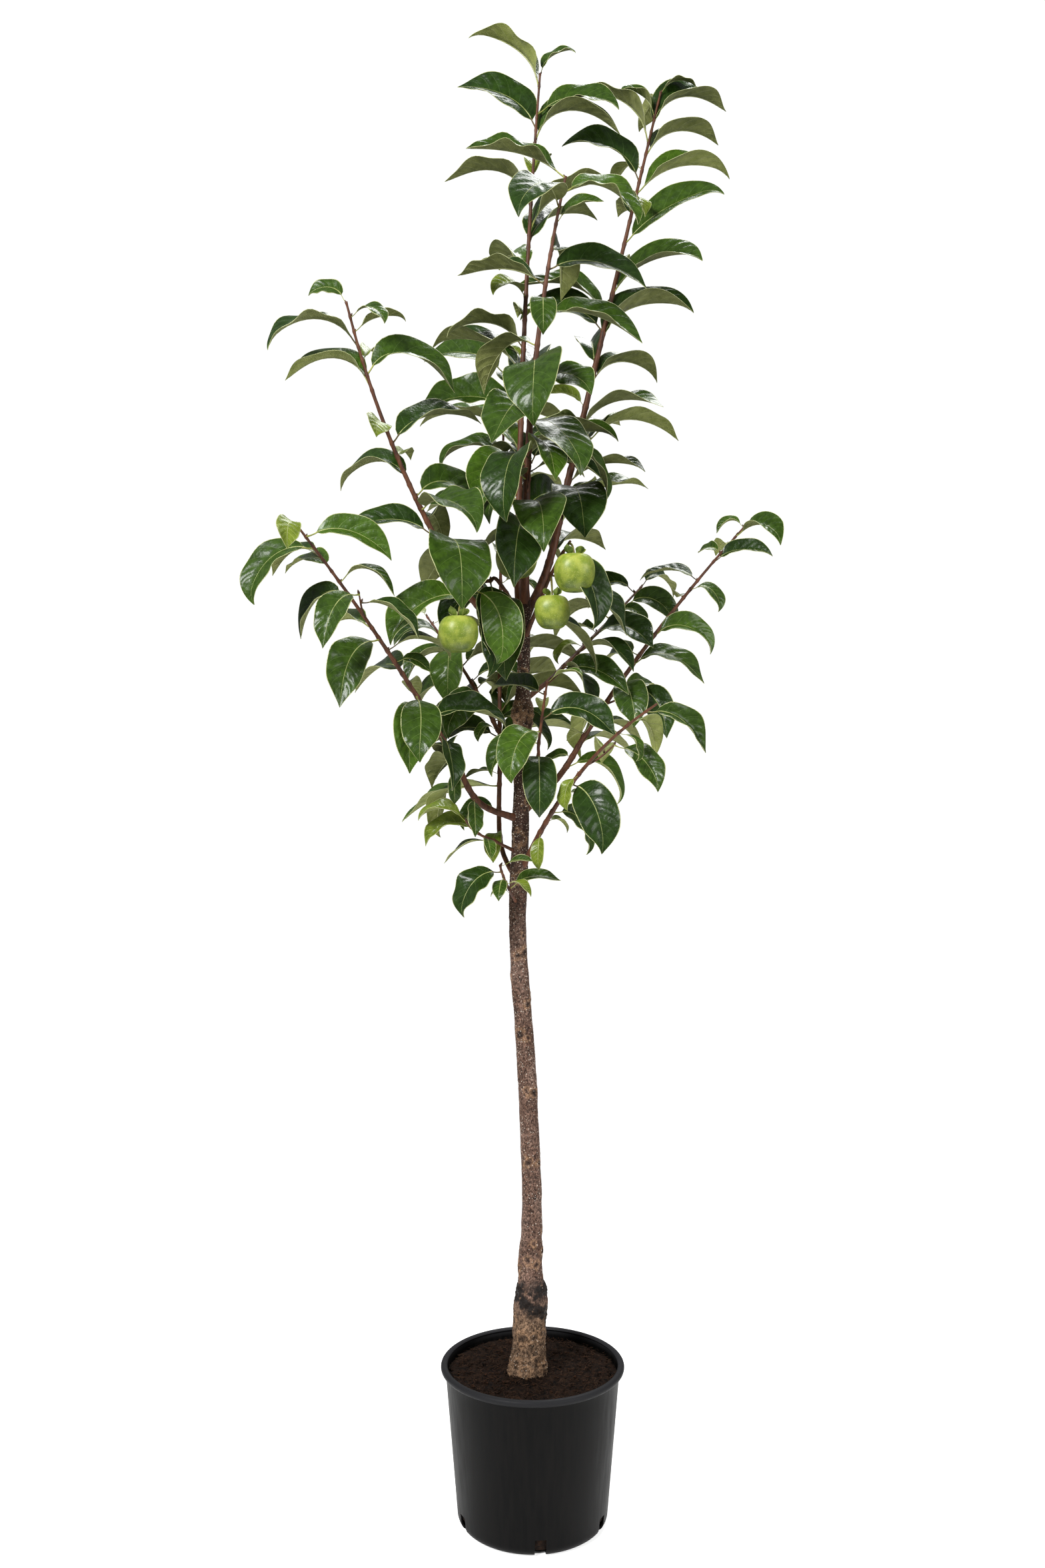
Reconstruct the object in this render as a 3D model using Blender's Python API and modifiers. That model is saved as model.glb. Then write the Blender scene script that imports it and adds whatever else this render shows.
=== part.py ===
"""Young grafted persimmon tree in a black plastic nursery pot.

Metres, +Z up. The origin is the centre of the pot's flat underside and the front is -Y.
The pot is a turned shell filled with potting mix. The grafted trunk rises from the mix to
its fork. Each bough is a bare limb, and a mass of foliage goes on from its tip: one stem with
leaves, side twigs and fruit fused to it.
"""

import math
import random
from collections import Counter, namedtuple

import bmesh
import bpy
from mathutils import Matrix, Vector
from mathutils.bvhtree import BVHTree

# ---------------------------------------------------------------- sizes
CLEARANCE = 0.0003          # gap kept between solids that touch

RIM_RADIUS = 0.150
POT_HEIGHT = 0.2545
RIM_BEAD = 0.0115           # height of the rolled bead at the rim
RIM_OVERHANG = 0.0078       # how far the bead stands out of the wall
FOOT_RADIUS = 0.1228
BASE_RADIUS = 0.110         # the flat ring that the pot stands on
FOOT_ROUND = 0.015          # height of the rounded foot
POT_WALL = 0.0018
POT_FLOOR = 0.0030
POT_SIDES = 36
SLOT_WIDTH = 0.018
SLOT_TOP = 0.028
SLOT_REACH = 0.007          # how far a slot runs in under the base
SLOT_DEPTH = 0.030          # length of a slot's cutter
SLOT_BELOW = 0.004          # how far the cutter goes below the base
SLOT_ANGLES = (-155.0, -84.5, -26.5, 34.0, 93.0, 149.0)    # where the drainage slots face, in degrees
SOIL_TOP = 0.239

TRUNK_TOP = 1.500           # height of the fork
TRUNK_STEP = 0.034
# Height, sideways place and depth of the trunk's middle: its lean and its sway.
TRUNK_LINE = [
    (SOIL_TOP, -0.009, 0.000), (0.355, -0.002, 0.002), (0.415, -0.004, 0.001), (0.520, -0.001, 0.001),
    (0.740, -0.010, -0.002), (0.950, -0.024, -0.003), (1.150, -0.019, 0.000), (TRUNK_TOP, -0.013, 0.000),
]
# Height and girth (diameter) of the plain taper, above and below the graft.
TRUNK_TAPER = [
    (SOIL_TOP, 0.0620), (0.256, 0.0580), (0.300, 0.0550), (0.370, 0.0455), (0.400, 0.0405), (0.436, 0.0392),
    (0.458, 0.0340), (0.560, 0.0326), (0.860, 0.0298), (1.180, 0.0262), (TRUNK_TOP, 0.0195),
]
# Height, half height and added girth of the graft, the boughs' collars and the pruned leader's knuckle.
TRUNK_SWELLINGS = [
    (0.352, 0.022, 0.0085), (1.050, 0.030, 0.0035), (1.145, 0.022, 0.0020), (1.312, 0.026, 0.0125),
]

STEM_STEP = 0.038
END_FACE = 0.004            # length of the straight piece at a limb's end
LEAF_LENGTH = 0.143         # blade of a full leaf
LEAF_BREADTH = 0.49         # its widest part, as a share of its length
YOUNG_BLADE = 0.090         # a shorter blade has one ring fewer
YOUNG_LEAF = 0.48           # size of a young leaf, as a share of a full one
LEAF_BEND = 1.7             # how much nearer its petiole than its tip a blade bends
FRONT_NOD = 40              # how much lower a leaf on the front hangs, in degrees
FRONT_GROWTH = 0.12         # how much larger it is
FRONT_SPREAD = 0.5          # how much flatter it is spread
BACK_RISE = 24              # how much higher the tip of a leaf on the back is held, in degrees
LIGHT_ROLL = 34             # how far a leaf on either side rolls its face round to the front, in degrees
TIP_RISE = (10, 14)         # how much higher the petiole and the tip of a shoot's last leaf are held
SIZE_RANGE = (0.80, 1.14)   # seeded range of a leaf's size
BREADTH_RANGE = (0.88, 1.12)
FOLD_RANGE = (18, 48)       # how far a blade is folded up along its midrib, in degrees
TURN_SPREAD = 16            # seeded spreads, in degrees, of where a leaf points,
LIFT_SPREAD = 16            # its elevation at the petiole,
DROOP_SPREAD = 28           # its elevation at the tip,
ROLL_SPREAD = 26            # the tilt about its own length
SWEEP_SPREAD = 34           # and the sideways curve of its midrib
LOWEST_DROOP = -100         # no leaf hangs further round than this
PETIOLE = 0.017
PETIOLE_GIRTH = 0.0026
LEAF_RIB = 0.024            # thickness at the midrib, as a share of the blade's length
PETIOLE_RANGE = (0.8, 1.25)
TEST_MARGIN = 0.0012        # space kept round a leaf when it is tried for room
STEM_CLEAR = 0.006          # how far from its stem's middle a leaf or a twig is first tried
NODS = (0, -14, 14, -28)    # how a leaf is nodded and turned in search of room, in degrees
TURNS = (0, 14, -14, 28, -28, 44, -44)
TWIG_LENGTH = 0.060
TWIG_GIRTH = 0.0034
TWIG_RANGE = (0.8, 1.3)     # seeded ranges of a side twig's length, its turn from outward and its rise
TWIG_TURN = 70
TWIG_RISE = (25, 50)
TWIG_SAG = 0.06
TWIG_LEAVES = ((0.62, 70, 0.80), (0.97, -20, 0.92))    # a side twig's leaves: share along, turn, size
STALK_GIRTH = 0.0036
CALYX_LOBES = 4
CALYX_HEIGHT = 0.86         # height of the calyx over the fruit's middle, as a share of its radius
CALYX_REACH = 0.0028        # how far out a lobe's root stands
CALYX_TURN = 40             # where the first lobe points, in degrees
CALYX_LOBE = (14, 40, -8)   # a lobe's elevations at its root and its tip, and its fold
CALYX_SIZE = (0.80, 0.85)   # a lobe's length and width, as shares of the fruit's radius
FRUIT_ROOM = 0.003          # space kept round a fruit

# Where a leaf points, by the letter's place round S on a keyboard: A left, D right, W to the back,
# X to the front, and Q, E, Z and C between them.
HEADINGS = {"D": 0, "E": 45, "W": 90, "Q": 135, "A": 180, "Z": 225, "X": 270, "C": 315}

Shoot = namedtuple("Shoot", "name root elbow tip bow girth bare habit leaves")
Habit = namedtuple("Habit", "lift droop size")
Fruit = namedtuple("Fruit", "shoot share centre radius")
Leaf = namedtuple("Leaf", "base heading lift droop length width fold roll sweep petiole")
Twig = namedtuple("Twig", "points girth")

# How leaves are held: elevation at the petiole, elevation at the tip, and size.
UPRIGHT = Habit(54, -24, 1.14)
SPREADING = Habit(42, -36, 1.04)
NODDING = Habit(24, -58, 0.84)
HANGING = Habit(8, -76, 0.78)
FACING = Habit(-8, -80, 0.90)
SMALL = Habit(24, -40, 0.62)

# root: height on the trunk. elbow: where the limb turns up. bow: how far the run from elbow to tip bends.
# girth: diameter at the root and the tip. bare: length beyond the elbow with no leaves.
# leaves: one letter a node, from the foot of the shoot to its tip; a small letter is a young leaf,
# T a side twig and a dot a bare node.
SHOOTS = [
    Shoot("leader_left", 1.425, (-0.024, 0.025, 1.526), (0.013, 0.050, 2.388), (-0.008, 0.018, 0.000),
          (0.0130, 0.0036), 0.075, UPRIGHT, "XE.QWTDQ.A.WdAqA.w.z.Q.ED.A.w.eDAD.Ad"),
    Shoot("leader_centre", 1.490, (-0.011, -0.020, 1.606), (0.051, -0.100, 2.150), (-0.015, 0.001, 0.001),
          (0.0150, 0.0038), 0.012, SPREADING, "ZXTXZXCXZCX.Q.DxADE.dXDA"),
    Shoot("leader_right", 1.470, (0.026, 0.045, 1.562), (0.223, 0.130, 2.397), (-0.001, 0.013, -0.001),
          (0.0145, 0.0036), 0.010, UPRIGHT, "E.WDQCDWT.Dza.DW.DAQ.D.w.D.wxDAqDADaed"),
    Shoot("bough_left_high", 1.400, (-0.106, -0.060, 1.505), (-0.286, -0.150, 1.936),
          (-0.017, -0.007, -0.008), (0.0115, 0.0036), 0.034, SPREADING, "EWXAQCDA.wEz..ADwAdca"),
    Shoot("bough_left_low", 1.140, (-0.087, -0.040, 1.170), (-0.351, -0.220, 1.583), (0.007, 0.008, 0.008),
          (0.0110, 0.0034), 0.010, NODDING, "xAzQWZaEZXwAdDZQT.ADAAQDx"),
    Shoot("bough_left_back", 1.250, (-0.052, 0.030, 1.281), (-0.187, 0.200, 1.498), (0.004, 0.001, 0.002),
          (0.0085, 0.0034), 0.010, NODDING, "aDTAQWE.WAX.A.dq"),
    Shoot("bough_back", 1.035, (-0.053, 0.030, 1.104), (-0.047, 0.190, 1.929), (-0.005, 0.025, -0.005),
          (0.0085, 0.0034), 0.010, SPREADING, "x.a.Zq.DAWE.W.D.EQ.A.e.W.ETQ.W.AD.QE.dwA"),
    Shoot("bough_right", 1.150, (0.045, 0.020, 1.213), (0.370, 0.140, 1.647), (-0.011, 0.006, 0.007),
          (0.0112, 0.0034), 0.015, NODDING, "DaEwDQT.C.DQ.D...wcQ.DqwDa"),
    Shoot("bough_right_low", 1.050, (0.007, -0.030, 1.111), (0.185, -0.190, 1.319), (-0.009, 0.010, 0.017),
          (0.0095, 0.0034), 0.010, HANGING, "xeD.dCxT...cE.D."),
    Shoot("bough_right_back", 1.335, (0.026, 0.030, 1.369), (0.199, 0.230, 1.556), (0.000, 0.001, -0.002),
          (0.0085, 0.0034), 0.024, NODDING, "DX.DaDw.QdD.AE"),
    Shoot("shoot_front", 1.185, (0.007, -0.035, 1.238), (0.023, -0.080, 1.362), (-0.001, -0.002, 0.000),
          (0.0065, 0.0032), 0.006, NODDING, "XAZDwQd"),
    Shoot("spur_left", 1.465, (-0.055, -0.060, 1.522), (-0.112, -0.150, 1.468), (-0.006, -0.004, 0.013),
          (0.0080, 0.0040), None, FACING, "..X.ZXCA."),
    Shoot("spur_right", 1.435, (0.013, -0.050, 1.494), (0.057, -0.140, 1.572), (-0.003, 0.000, 0.002),
          (0.0080, 0.0040), None, FACING, "..E..D.C."),
    Shoot("sprout_left", 1.085, (-0.064, -0.030, 1.108), (-0.105, -0.080, 1.140), (-0.004, 0.001, -0.003),
          (0.0055, 0.0032), None, SMALL, "..ZxAQA"),
    Shoot("sprout_front", 1.000, (-0.035, -0.034, 1.024), (-0.052, -0.062, 1.070), (-0.003, 0.000, 0.002),
          (0.0050, 0.0032), None, SMALL, "..aDcxZd"),
]

FRUITS = [
    Fruit("leader_centre", 0.00, (-0.026, -0.059, 1.558), 0.0325),
    Fruit("spur_left", 0.98, (-0.114, -0.158, 1.428), 0.0305),
    Fruit("spur_right", 0.98, (0.063, -0.152, 1.522), 0.0320),
    Fruit("spur_right", 0.62, (0.030, -0.112, 1.467), 0.0285),
]

COLOURS = {
    "black_plastic": ((0.018, 0.018, 0.020), 0.45),
    "potting_mix": ((0.045, 0.026, 0.016), 0.95),
    "trunk_bark": ((0.190, 0.150, 0.110), 0.85),
    "shoot_bark": ((0.170, 0.085, 0.048), 0.70),
    "foliage": ((0.045, 0.130, 0.030), 0.40),
}


# ---------------------------------------------------------------- scene
def clear_scene():
    for item in list(bpy.data.objects):
        bpy.data.objects.remove(item, do_unlink=True)


def new_collection(name):
    collection = bpy.data.collections.new(name)
    bpy.context.scene.collection.children.link(collection)
    return collection


def make_materials():
    materials = {}
    for name, (colour, roughness) in COLOURS.items():
        material = bpy.data.materials.new(name)
        material.use_nodes = True
        shader = material.node_tree.nodes["Principled BSDF"]
        shader.inputs["Base Color"].default_value = (*colour, 1.0)
        shader.inputs["Roughness"].default_value = roughness
        material.diffuse_color = (*colour, 1.0)
        materials[name] = material
    return materials


def add_mesh(name, mesh, collection, material=None):
    item = bpy.data.objects.new(name, mesh)
    collection.objects.link(item)
    if material:
        mesh.materials.clear()
        mesh.materials.append(material)
    return item


def as_plain_mesh(item):
    """The object's evaluated mesh, as a new mesh of its own."""
    bpy.context.view_layer.update()
    evaluated = item.evaluated_get(bpy.context.evaluated_depsgraph_get())
    return bpy.data.meshes.new_from_object(evaluated)


def keep_outer_shell(mesh):
    """Weld the mesh and keep its largest shell, without loose scraps and sealed hollows."""
    shell = bmesh.new()
    shell.from_mesh(mesh)
    bmesh.ops.remove_doubles(shell, verts=shell.verts, dist=1e-6)
    bmesh.ops.triangulate(shell, faces=shell.faces)
    shell.faces.ensure_lookup_table()
    groups = []
    seen = set()
    for start in shell.faces:
        if start.index in seen:
            continue
        seen.add(start.index)
        group = [start]
        for face in group:
            for edge in face.edges:
                for other in edge.link_faces:
                    if other.index not in seen:
                        seen.add(other.index)
                        group.append(other)
        groups.append(group)
    groups.sort(key=len)
    for group in groups[:-1]:
        bmesh.ops.delete(shell, geom=group, context="FACES")
    bmesh.ops.recalc_face_normals(shell, faces=shell.faces)
    shell.to_mesh(mesh)
    shell.free()


def is_closed(mesh):
    """Whether each edge has just two faces."""
    uses = Counter(key for face in mesh.polygons for key in face.edge_keys)
    return all(count == 2 for count in uses.values())


# ---------------------------------------------------------------- lines and tapers
def between(table, value):
    """Read a two-column table at a value, in straight steps."""
    if value <= table[0][0]:
        return table[0][1]
    for (low, first), (high, second) in zip(table, table[1:]):
        if value <= high:
            return first + (second - first) * (value - low) / (high - low)
    return table[-1][1]


def smooth_line(points, steps):
    """A smooth curve through the points (Catmull-Rom), as a list of points close together."""
    ends = [points[0] * 2 - points[1]] + points + [points[-1] * 2 - points[-2]]
    line = []
    for a, b, c, d in zip(ends, ends[1:], ends[2:], ends[3:]):
        for step in range(steps):
            t = step / steps
            line.append(0.5 * (b * 2 + (c - a) * t + (a * 2 - b * 5 + c * 4 - d) * t ** 2
                               + (b * 3 - a - c * 3 + d) * t ** 3))
    line.append(points[-1].copy())
    return line


class Path:
    """A smooth route that can be read by the distance along it."""

    def __init__(self, points, steps=14):
        self.line = smooth_line(points, steps)
        self.marks = [0.0]
        for a, b in zip(self.line, self.line[1:]):
            self.marks.append(self.marks[-1] + (b - a).length)
        self.length = self.marks[-1]

    def point(self, distance):
        distance = min(max(distance, 0.0), self.length)
        for a, b, low, high in zip(self.line, self.line[1:], self.marks, self.marks[1:]):
            if distance <= high:
                return a.lerp(b, (distance - low) / (high - low))
        return self.line[-1].copy()

    def marks_between(self, start, end, step):
        """Distances from start to end, about a step apart, with one close to each end to square its face."""
        count = max(2, round((end - start) / step))
        inner = [start + (end - start) * k / count for k in range(1, count)]
        return [start, start + END_FACE] + inner + [end - END_FACE, end]


def trunk_path():
    """The trunk's middle line, smooth through its named places."""
    return Path([Vector((x, y, z)) for z, x, y in TRUNK_LINE], 20)


def trunk_centre(path, height):
    for a, b in zip(path.line, path.line[1:]):
        if height <= b.z:
            return a.lerp(b, (height - a.z) / (b.z - a.z))
    return path.line[-1].copy()


def trunk_girth(height):
    girth = between(TRUNK_TAPER, height)
    for middle, reach, extra in TRUNK_SWELLINGS:
        girth += extra * math.exp(-((height - middle) / reach) ** 2)
    return girth


def shoot_path(shoot, trunk):
    """A shoot's route: from the trunk's middle to its elbow, then a bowed run up to its tip."""
    elbow = Vector(shoot.elbow)
    tip = Vector(shoot.tip)
    run = []
    for k in range(1, 7):
        t = k / 6
        run.append(elbow.lerp(tip, t) + Vector(shoot.bow) * 4 * t * (1 - t))
    return Path([trunk_centre(trunk, shoot.root), elbow] + run)


def shoot_girth(shoot, path, distance):
    """The limb tapers evenly and swells into a collar at the trunk."""
    first, last = shoot.girth
    collar = 1 + 0.30 * math.exp(-(distance / 0.022) ** 2)
    return (first + (last - first) * distance / path.length) * collar


def bare_length(shoot, path):
    """Where the bare bough ends and its mass of foliage begins."""
    if shoot.bare is None:
        return 0.0
    return (Vector(shoot.elbow) - path.line[0]).length + shoot.bare - 0.012


# ---------------------------------------------------------------- growth rule
def leaf_frames(leaf, shares):
    """Middle points of a blade at the given shares of its length, with the ways across and up.

    The blade sets out at its heading and lift and bends to the droop at its tip, while the heading
    turns by the sweep. The roll tilts it about its own length.
    """
    steps = 12
    place = leaf.base + direction(leaf.heading, leaf.lift) * leaf.petiole
    places = [place.copy()]
    for k in range(steps):
        t = (k + 0.5) / steps
        way = direction(leaf.heading + leaf.sweep * t, elevation_at(leaf, t))
        place = place + way * leaf.length / steps
        places.append(place)
    frames = []
    for share in shares:
        k = min(int(share * steps), steps - 1)
        middle = places[k].lerp(places[k + 1], share * steps - k)
        heading = math.radians(leaf.heading + leaf.sweep * share)
        elevation = math.radians(elevation_at(leaf, share))
        across = Vector((-math.sin(heading), math.cos(heading), 0.0))
        up = Vector((-math.sin(elevation) * math.cos(heading), -math.sin(elevation) * math.sin(heading),
                     math.cos(elevation)))
        roll = math.radians(leaf.roll)
        frames.append((middle, across * math.cos(roll) + up * math.sin(roll),
                       up * math.cos(roll) - across * math.sin(roll)))
    return frames


def elevation_at(leaf, share):
    """A blade bends most near its petiole: the droop is reached as 1 - (1 - share)^LEAF_BEND."""
    return leaf.lift + (leaf.droop - leaf.lift) * (1 - (1 - share) ** LEAF_BEND)


def direction(heading, elevation):
    heading = math.radians(heading)
    elevation = math.radians(elevation)
    level = math.cos(elevation)
    return Vector((level * math.cos(heading), level * math.sin(heading), math.sin(elevation)))


def leaf_rings(leaf, margin=0.0):
    """Four-sided rings of a folded leaf: the sunk root, the petiole's end and two across the blade.

    A young leaf has one ring across its blade.
    """
    outline = [(0.0, 0.05), (0.45, 1.0)]
    if leaf.length > YOUNG_BLADE:
        outline = [(0.0, 0.05), (0.34, 1.0), (0.72, 0.68)]
    frames = leaf_frames(leaf, [share for share, _ in outline] + [1.0])
    rings = []
    stalk = PETIOLE_GIRTH / 2 + margin
    middle, across, up = frames[0]
    rings.append([leaf.base + across * stalk, leaf.base + up * stalk,
                  leaf.base - across * stalk, leaf.base - up * stalk])
    thick = leaf.length * LEAF_RIB / 2 + margin
    fold = math.radians(leaf.fold)
    for (share, breadth), (middle, across, up) in zip(outline, frames):
        half = max(leaf.width / 2 * breadth, stalk) + margin
        rise = up * (half * math.sin(fold) * min(1.0, share * 6))
        side = across * half * math.cos(fold)
        rings.append([middle + side + rise, middle + up * thick, middle - side + rise, middle - up * thick])
    return rings, frames[-1][0]


def leaf_mesh_data(leaf, margin=0.0):
    """Vertices and triangles of a leaf: a loft over its rings, closed by its root and its tip.

    Above and below, each quad is split from the midrib forward to the margin, so that a twisted blade
    keeps its thickness.
    """
    rings, tip = leaf_rings(leaf, margin)
    points = [point for ring in rings for point in ring] + [tip]
    faces = [(0, 1, 2), (0, 2, 3)]
    for k in range(len(rings) - 1):
        for side in range(4):
            a = 4 * k + side
            b = 4 * k + (side + 1) % 4
            if side % 2:
                faces += [(a, a + 4, b + 4), (a, b + 4, b)]
            else:
                faces += [(a, a + 4, b), (b, a + 4, b + 4)]
    last = 4 * (len(rings) - 1)
    faces += [(last + side, len(points) - 1, last + (side + 1) % 4) for side in range(4)]
    return points, faces


def tube_data(points, radius, sides=5):
    """Vertices and triangles of an open tube, used to try a limb or a stalk for room."""
    rows = []
    for k, point in enumerate(points):
        way = (points[min(k + 1, len(points) - 1)] - points[max(k - 1, 0)]).normalized()
        across = way.orthogonal().normalized()
        other = way.cross(across)
        for side in range(sides):
            turn = math.tau * side / sides
            rows.append(point + (across * math.cos(turn) + other * math.sin(turn)) * radius(k))
    faces = []
    for k in range(len(points) - 1):
        for side in range(sides):
            a = sides * k + side
            b = sides * k + (side + 1) % sides
            faces += [(a, b, a + sides), (b, b + sides, a + sides)]
    return rows, faces


def ball_data(centre, radius):
    """Vertices and faces of a closed globe, used to keep leaves out of a fruit."""
    rows = []
    rings = 7
    sides = 12
    for k in range(1, rings + 1):
        polar = math.pi * k / (rings + 1)
        for side in range(sides):
            turn = math.tau * side / sides
            level = math.sin(polar)
            way = Vector((level * math.cos(turn), level * math.sin(turn), math.cos(polar)))
            rows.append(Vector(centre) + way * radius)
    faces = [tuple(range(sides)), tuple(range(sides * (rings - 1), sides * rings))]
    for k in range(rings - 1):
        for side in range(sides):
            a = sides * k + side
            b = sides * k + (side + 1) % sides
            faces.append((a, b, b + sides, a + sides))
    return rows, faces


class Space:
    """What each node has taken up so far, so that the next leaf can be tried for room."""

    def __init__(self):
        self.taken = []

    def add(self, node, data):
        points, faces = data
        low = Vector([min(point[k] for point in points) for k in range(3)])
        high = Vector([max(point[k] for point in points) for k in range(3)])
        self.taken.append((node, low, high, BVHTree.FromPolygons(points, faces)))

    def clashes(self, node, data):
        """Whether a shape meets another node, and how many times it meets its own."""
        points, faces = data
        low = Vector([min(point[k] for point in points) for k in range(3)])
        high = Vector([max(point[k] for point in points) for k in range(3)])
        tree = None
        own = 0
        for owner, lowest, highest, other in self.taken:
            if any(low[k] > highest[k] or high[k] < lowest[k] for k in range(3)):
                continue
            tree = tree or BVHTree.FromPolygons(points, faces)
            if tree.overlap(other):
                if owner != node:
                    return True, own
                own += 1
        return False, own


def place_leaf(space, node, leaf):
    """Turn a leaf a little at a time until it has room. One that finds none is left out."""
    best = None
    for nod in NODS:
        for turn in TURNS:
            tried = leaf._replace(heading=leaf.heading + turn, droop=leaf.droop + nod,
                                  lift=leaf.lift + nod * 0.5)
            away = tried._replace(base=tried.base + direction(tried.heading, tried.lift) * STEM_CLEAR,
                                  petiole=max(tried.petiole - STEM_CLEAR, 0.002))
            blocked, own = space.clashes(node, leaf_mesh_data(away, TEST_MARGIN))
            if blocked:
                continue
            if own == 0:
                space.add(node, leaf_mesh_data(away, TEST_MARGIN))
                return tried
            if best is None or own < best[0]:
                best = (own, tried, away)
    if best is None:
        return None
    space.add(node, leaf_mesh_data(best[2], TEST_MARGIN))
    return best[1]


def draw_leaf(rng, base, heading, habit, scale, share):
    """A leaf with seeded differences in its size, its turn and the way it hangs.

    Leaves nod less towards a shoot's tip. Those on the front are larger and hang with their faces out,
    and those on the sides roll their faces round to the front, where the light comes from.
    """
    way = math.radians(heading)
    front = max(0.0, -math.sin(way))
    back = max(0.0, math.sin(way))
    length = LEAF_LENGTH * habit.size * scale * rng.uniform(*SIZE_RANGE) * (1 + FRONT_GROWTH * front)
    lift = habit.lift + rng.uniform(-LIFT_SPREAD, LIFT_SPREAD) + TIP_RISE[0] * share - FRONT_NOD * front
    droop = habit.droop + rng.uniform(-DROOP_SPREAD, DROOP_SPREAD) + TIP_RISE[1] * share
    droop = max(droop - FRONT_NOD * front + BACK_RISE * back, LOWEST_DROOP)
    turn = rng.uniform(-TURN_SPREAD, TURN_SPREAD)
    width = length * LEAF_BREADTH * rng.uniform(*BREADTH_RANGE)
    fold = rng.uniform(*FOLD_RANGE) * (1 - FRONT_SPREAD * front)
    roll = LIGHT_ROLL * math.cos(way) + rng.uniform(-ROLL_SPREAD, ROLL_SPREAD)
    sweep = rng.uniform(-SWEEP_SPREAD, SWEEP_SPREAD)
    petiole = PETIOLE * rng.uniform(*PETIOLE_RANGE) * (0.5 + 0.5 * scale)
    return Leaf(base, heading + turn, lift, droop, length, width, fold, roll, sweep, petiole)


def clear_of_stem(points):
    """The same points, starting just outside the stem that carries them."""
    way = (points[1] - points[0]).normalized()
    return [points[0] + way * STEM_CLEAR] + points[1:]


def calyx_lobes(fruit):
    """The lobes that stand out round the top of a fruit."""
    crown = Vector(fruit.centre) + Vector((0, 0, fruit.radius * CALYX_HEIGHT))
    lift, droop, fold = CALYX_LOBE
    length, width = CALYX_SIZE
    lobes = []
    for k in range(CALYX_LOBES):
        heading = CALYX_TURN + 360 / CALYX_LOBES * k
        lobes.append(Leaf(crown + direction(heading, 0) * CALYX_REACH, heading, lift, droop,
                          fruit.radius * length, fruit.radius * width, fold, 0, 0, 0.002))
    return lobes


def grow_stalks(shoot, path, start, space):
    """The thin twigs that carry a shoot's fruit. Each fruit keeps its room before any leaf is placed."""
    node = "foliage_" + shoot.name
    stalks = []
    for fruit in FRUITS:
        if fruit.shoot != shoot.name:
            continue
        begin = path.point(start + 0.012 + (path.length - start - 0.012) * fruit.share)
        calyx = Vector(fruit.centre) + Vector((0, 0, fruit.radius * CALYX_HEIGHT))
        middle = begin.lerp(calyx + Vector((0, 0, 0.010)), 0.6)
        stalks.append(Twig([begin, middle, calyx], STALK_GIRTH))
        space.add(node, tube_data(clear_of_stem(stalks[-1].points), lambda k: STALK_GIRTH / 2 + TEST_MARGIN))
        space.add(node, ball_data(fruit.centre, fruit.radius + FRUIT_ROOM))
        for lobe in calyx_lobes(fruit):
            space.add(node, leaf_mesh_data(lobe, TEST_MARGIN))
    return stalks


def grow_mass(shoot, path, start, space):
    """Leaves and side twigs of one shoot, by its letters and its name's seed."""
    node = "foliage_" + shoot.name
    leaves = []
    twigs = []
    first = start + 0.014
    slots = len(shoot.leaves)
    for slot, letter in enumerate(shoot.leaves):
        if letter == ".":
            continue
        rng = random.Random(shoot.name + str(slot))
        share = slot / max(slots - 1, 1)
        base = path.point(first + (path.length - 0.002 - first) * share)
        if letter != "T":
            heading = HEADINGS[letter.upper()]
            scale = YOUNG_LEAF if letter.islower() else 1.0
            leaf = place_leaf(space, node, draw_leaf(rng, base, heading, shoot.habit, scale, share))
            if leaf:
                leaves.append(leaf)
            continue
        outward = math.degrees(math.atan2(base.y, base.x)) + rng.uniform(-TWIG_TURN, TWIG_TURN)
        reach = TWIG_LENGTH * rng.uniform(*TWIG_RANGE)
        end = base + direction(outward, rng.uniform(*TWIG_RISE)) * reach
        middle = base.lerp(end, 0.5) - Vector((0, 0, reach * TWIG_SAG))
        twig = Twig([base, middle, end], TWIG_GIRTH)
        tried = tube_data(clear_of_stem(twig.points), lambda k: TWIG_GIRTH / 2 + TEST_MARGIN)
        blocked, _ = space.clashes(node, tried)
        if blocked:
            continue
        twigs.append(twig)
        space.add(node, tried)
        for share_on_twig, turn, size in TWIG_LEAVES:
            spot = base.lerp(end, share_on_twig)
            leaf = draw_leaf(rng, spot, outward + turn, shoot.habit, size, share)
            leaf = place_leaf(space, node, leaf)
            if leaf:
                leaves.append(leaf)
    return leaves, twigs


# ---------------------------------------------------------------- solids
def limb_mesh(name, points, girths, resolution):
    """A round tapering limb: a poly curve with a radius at each point and filled caps, made a mesh."""
    curve = bpy.data.curves.new(name, "CURVE")
    curve.dimensions = "3D"
    curve.bevel_depth = 1.0
    curve.bevel_resolution = resolution
    curve.use_fill_caps = True
    spline = curve.splines.new("POLY")
    spline.points.add(len(points) - 1)
    for knot, point, girth in zip(spline.points, points, girths):
        knot.co = (*point, 1.0)
        knot.radius = girth / 2
    item = bpy.data.objects.new(name, curve)
    bpy.context.scene.collection.objects.link(item)
    mesh = as_plain_mesh(item)
    bpy.data.objects.remove(item, do_unlink=True)
    welded = bmesh.new()
    welded.from_mesh(mesh)
    bmesh.ops.remove_doubles(welded, verts=welded.verts, dist=1e-6)
    bmesh.ops.recalc_face_normals(welded, faces=welded.faces)
    welded.to_mesh(mesh)
    welded.free()
    mesh.name = name
    return mesh


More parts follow.
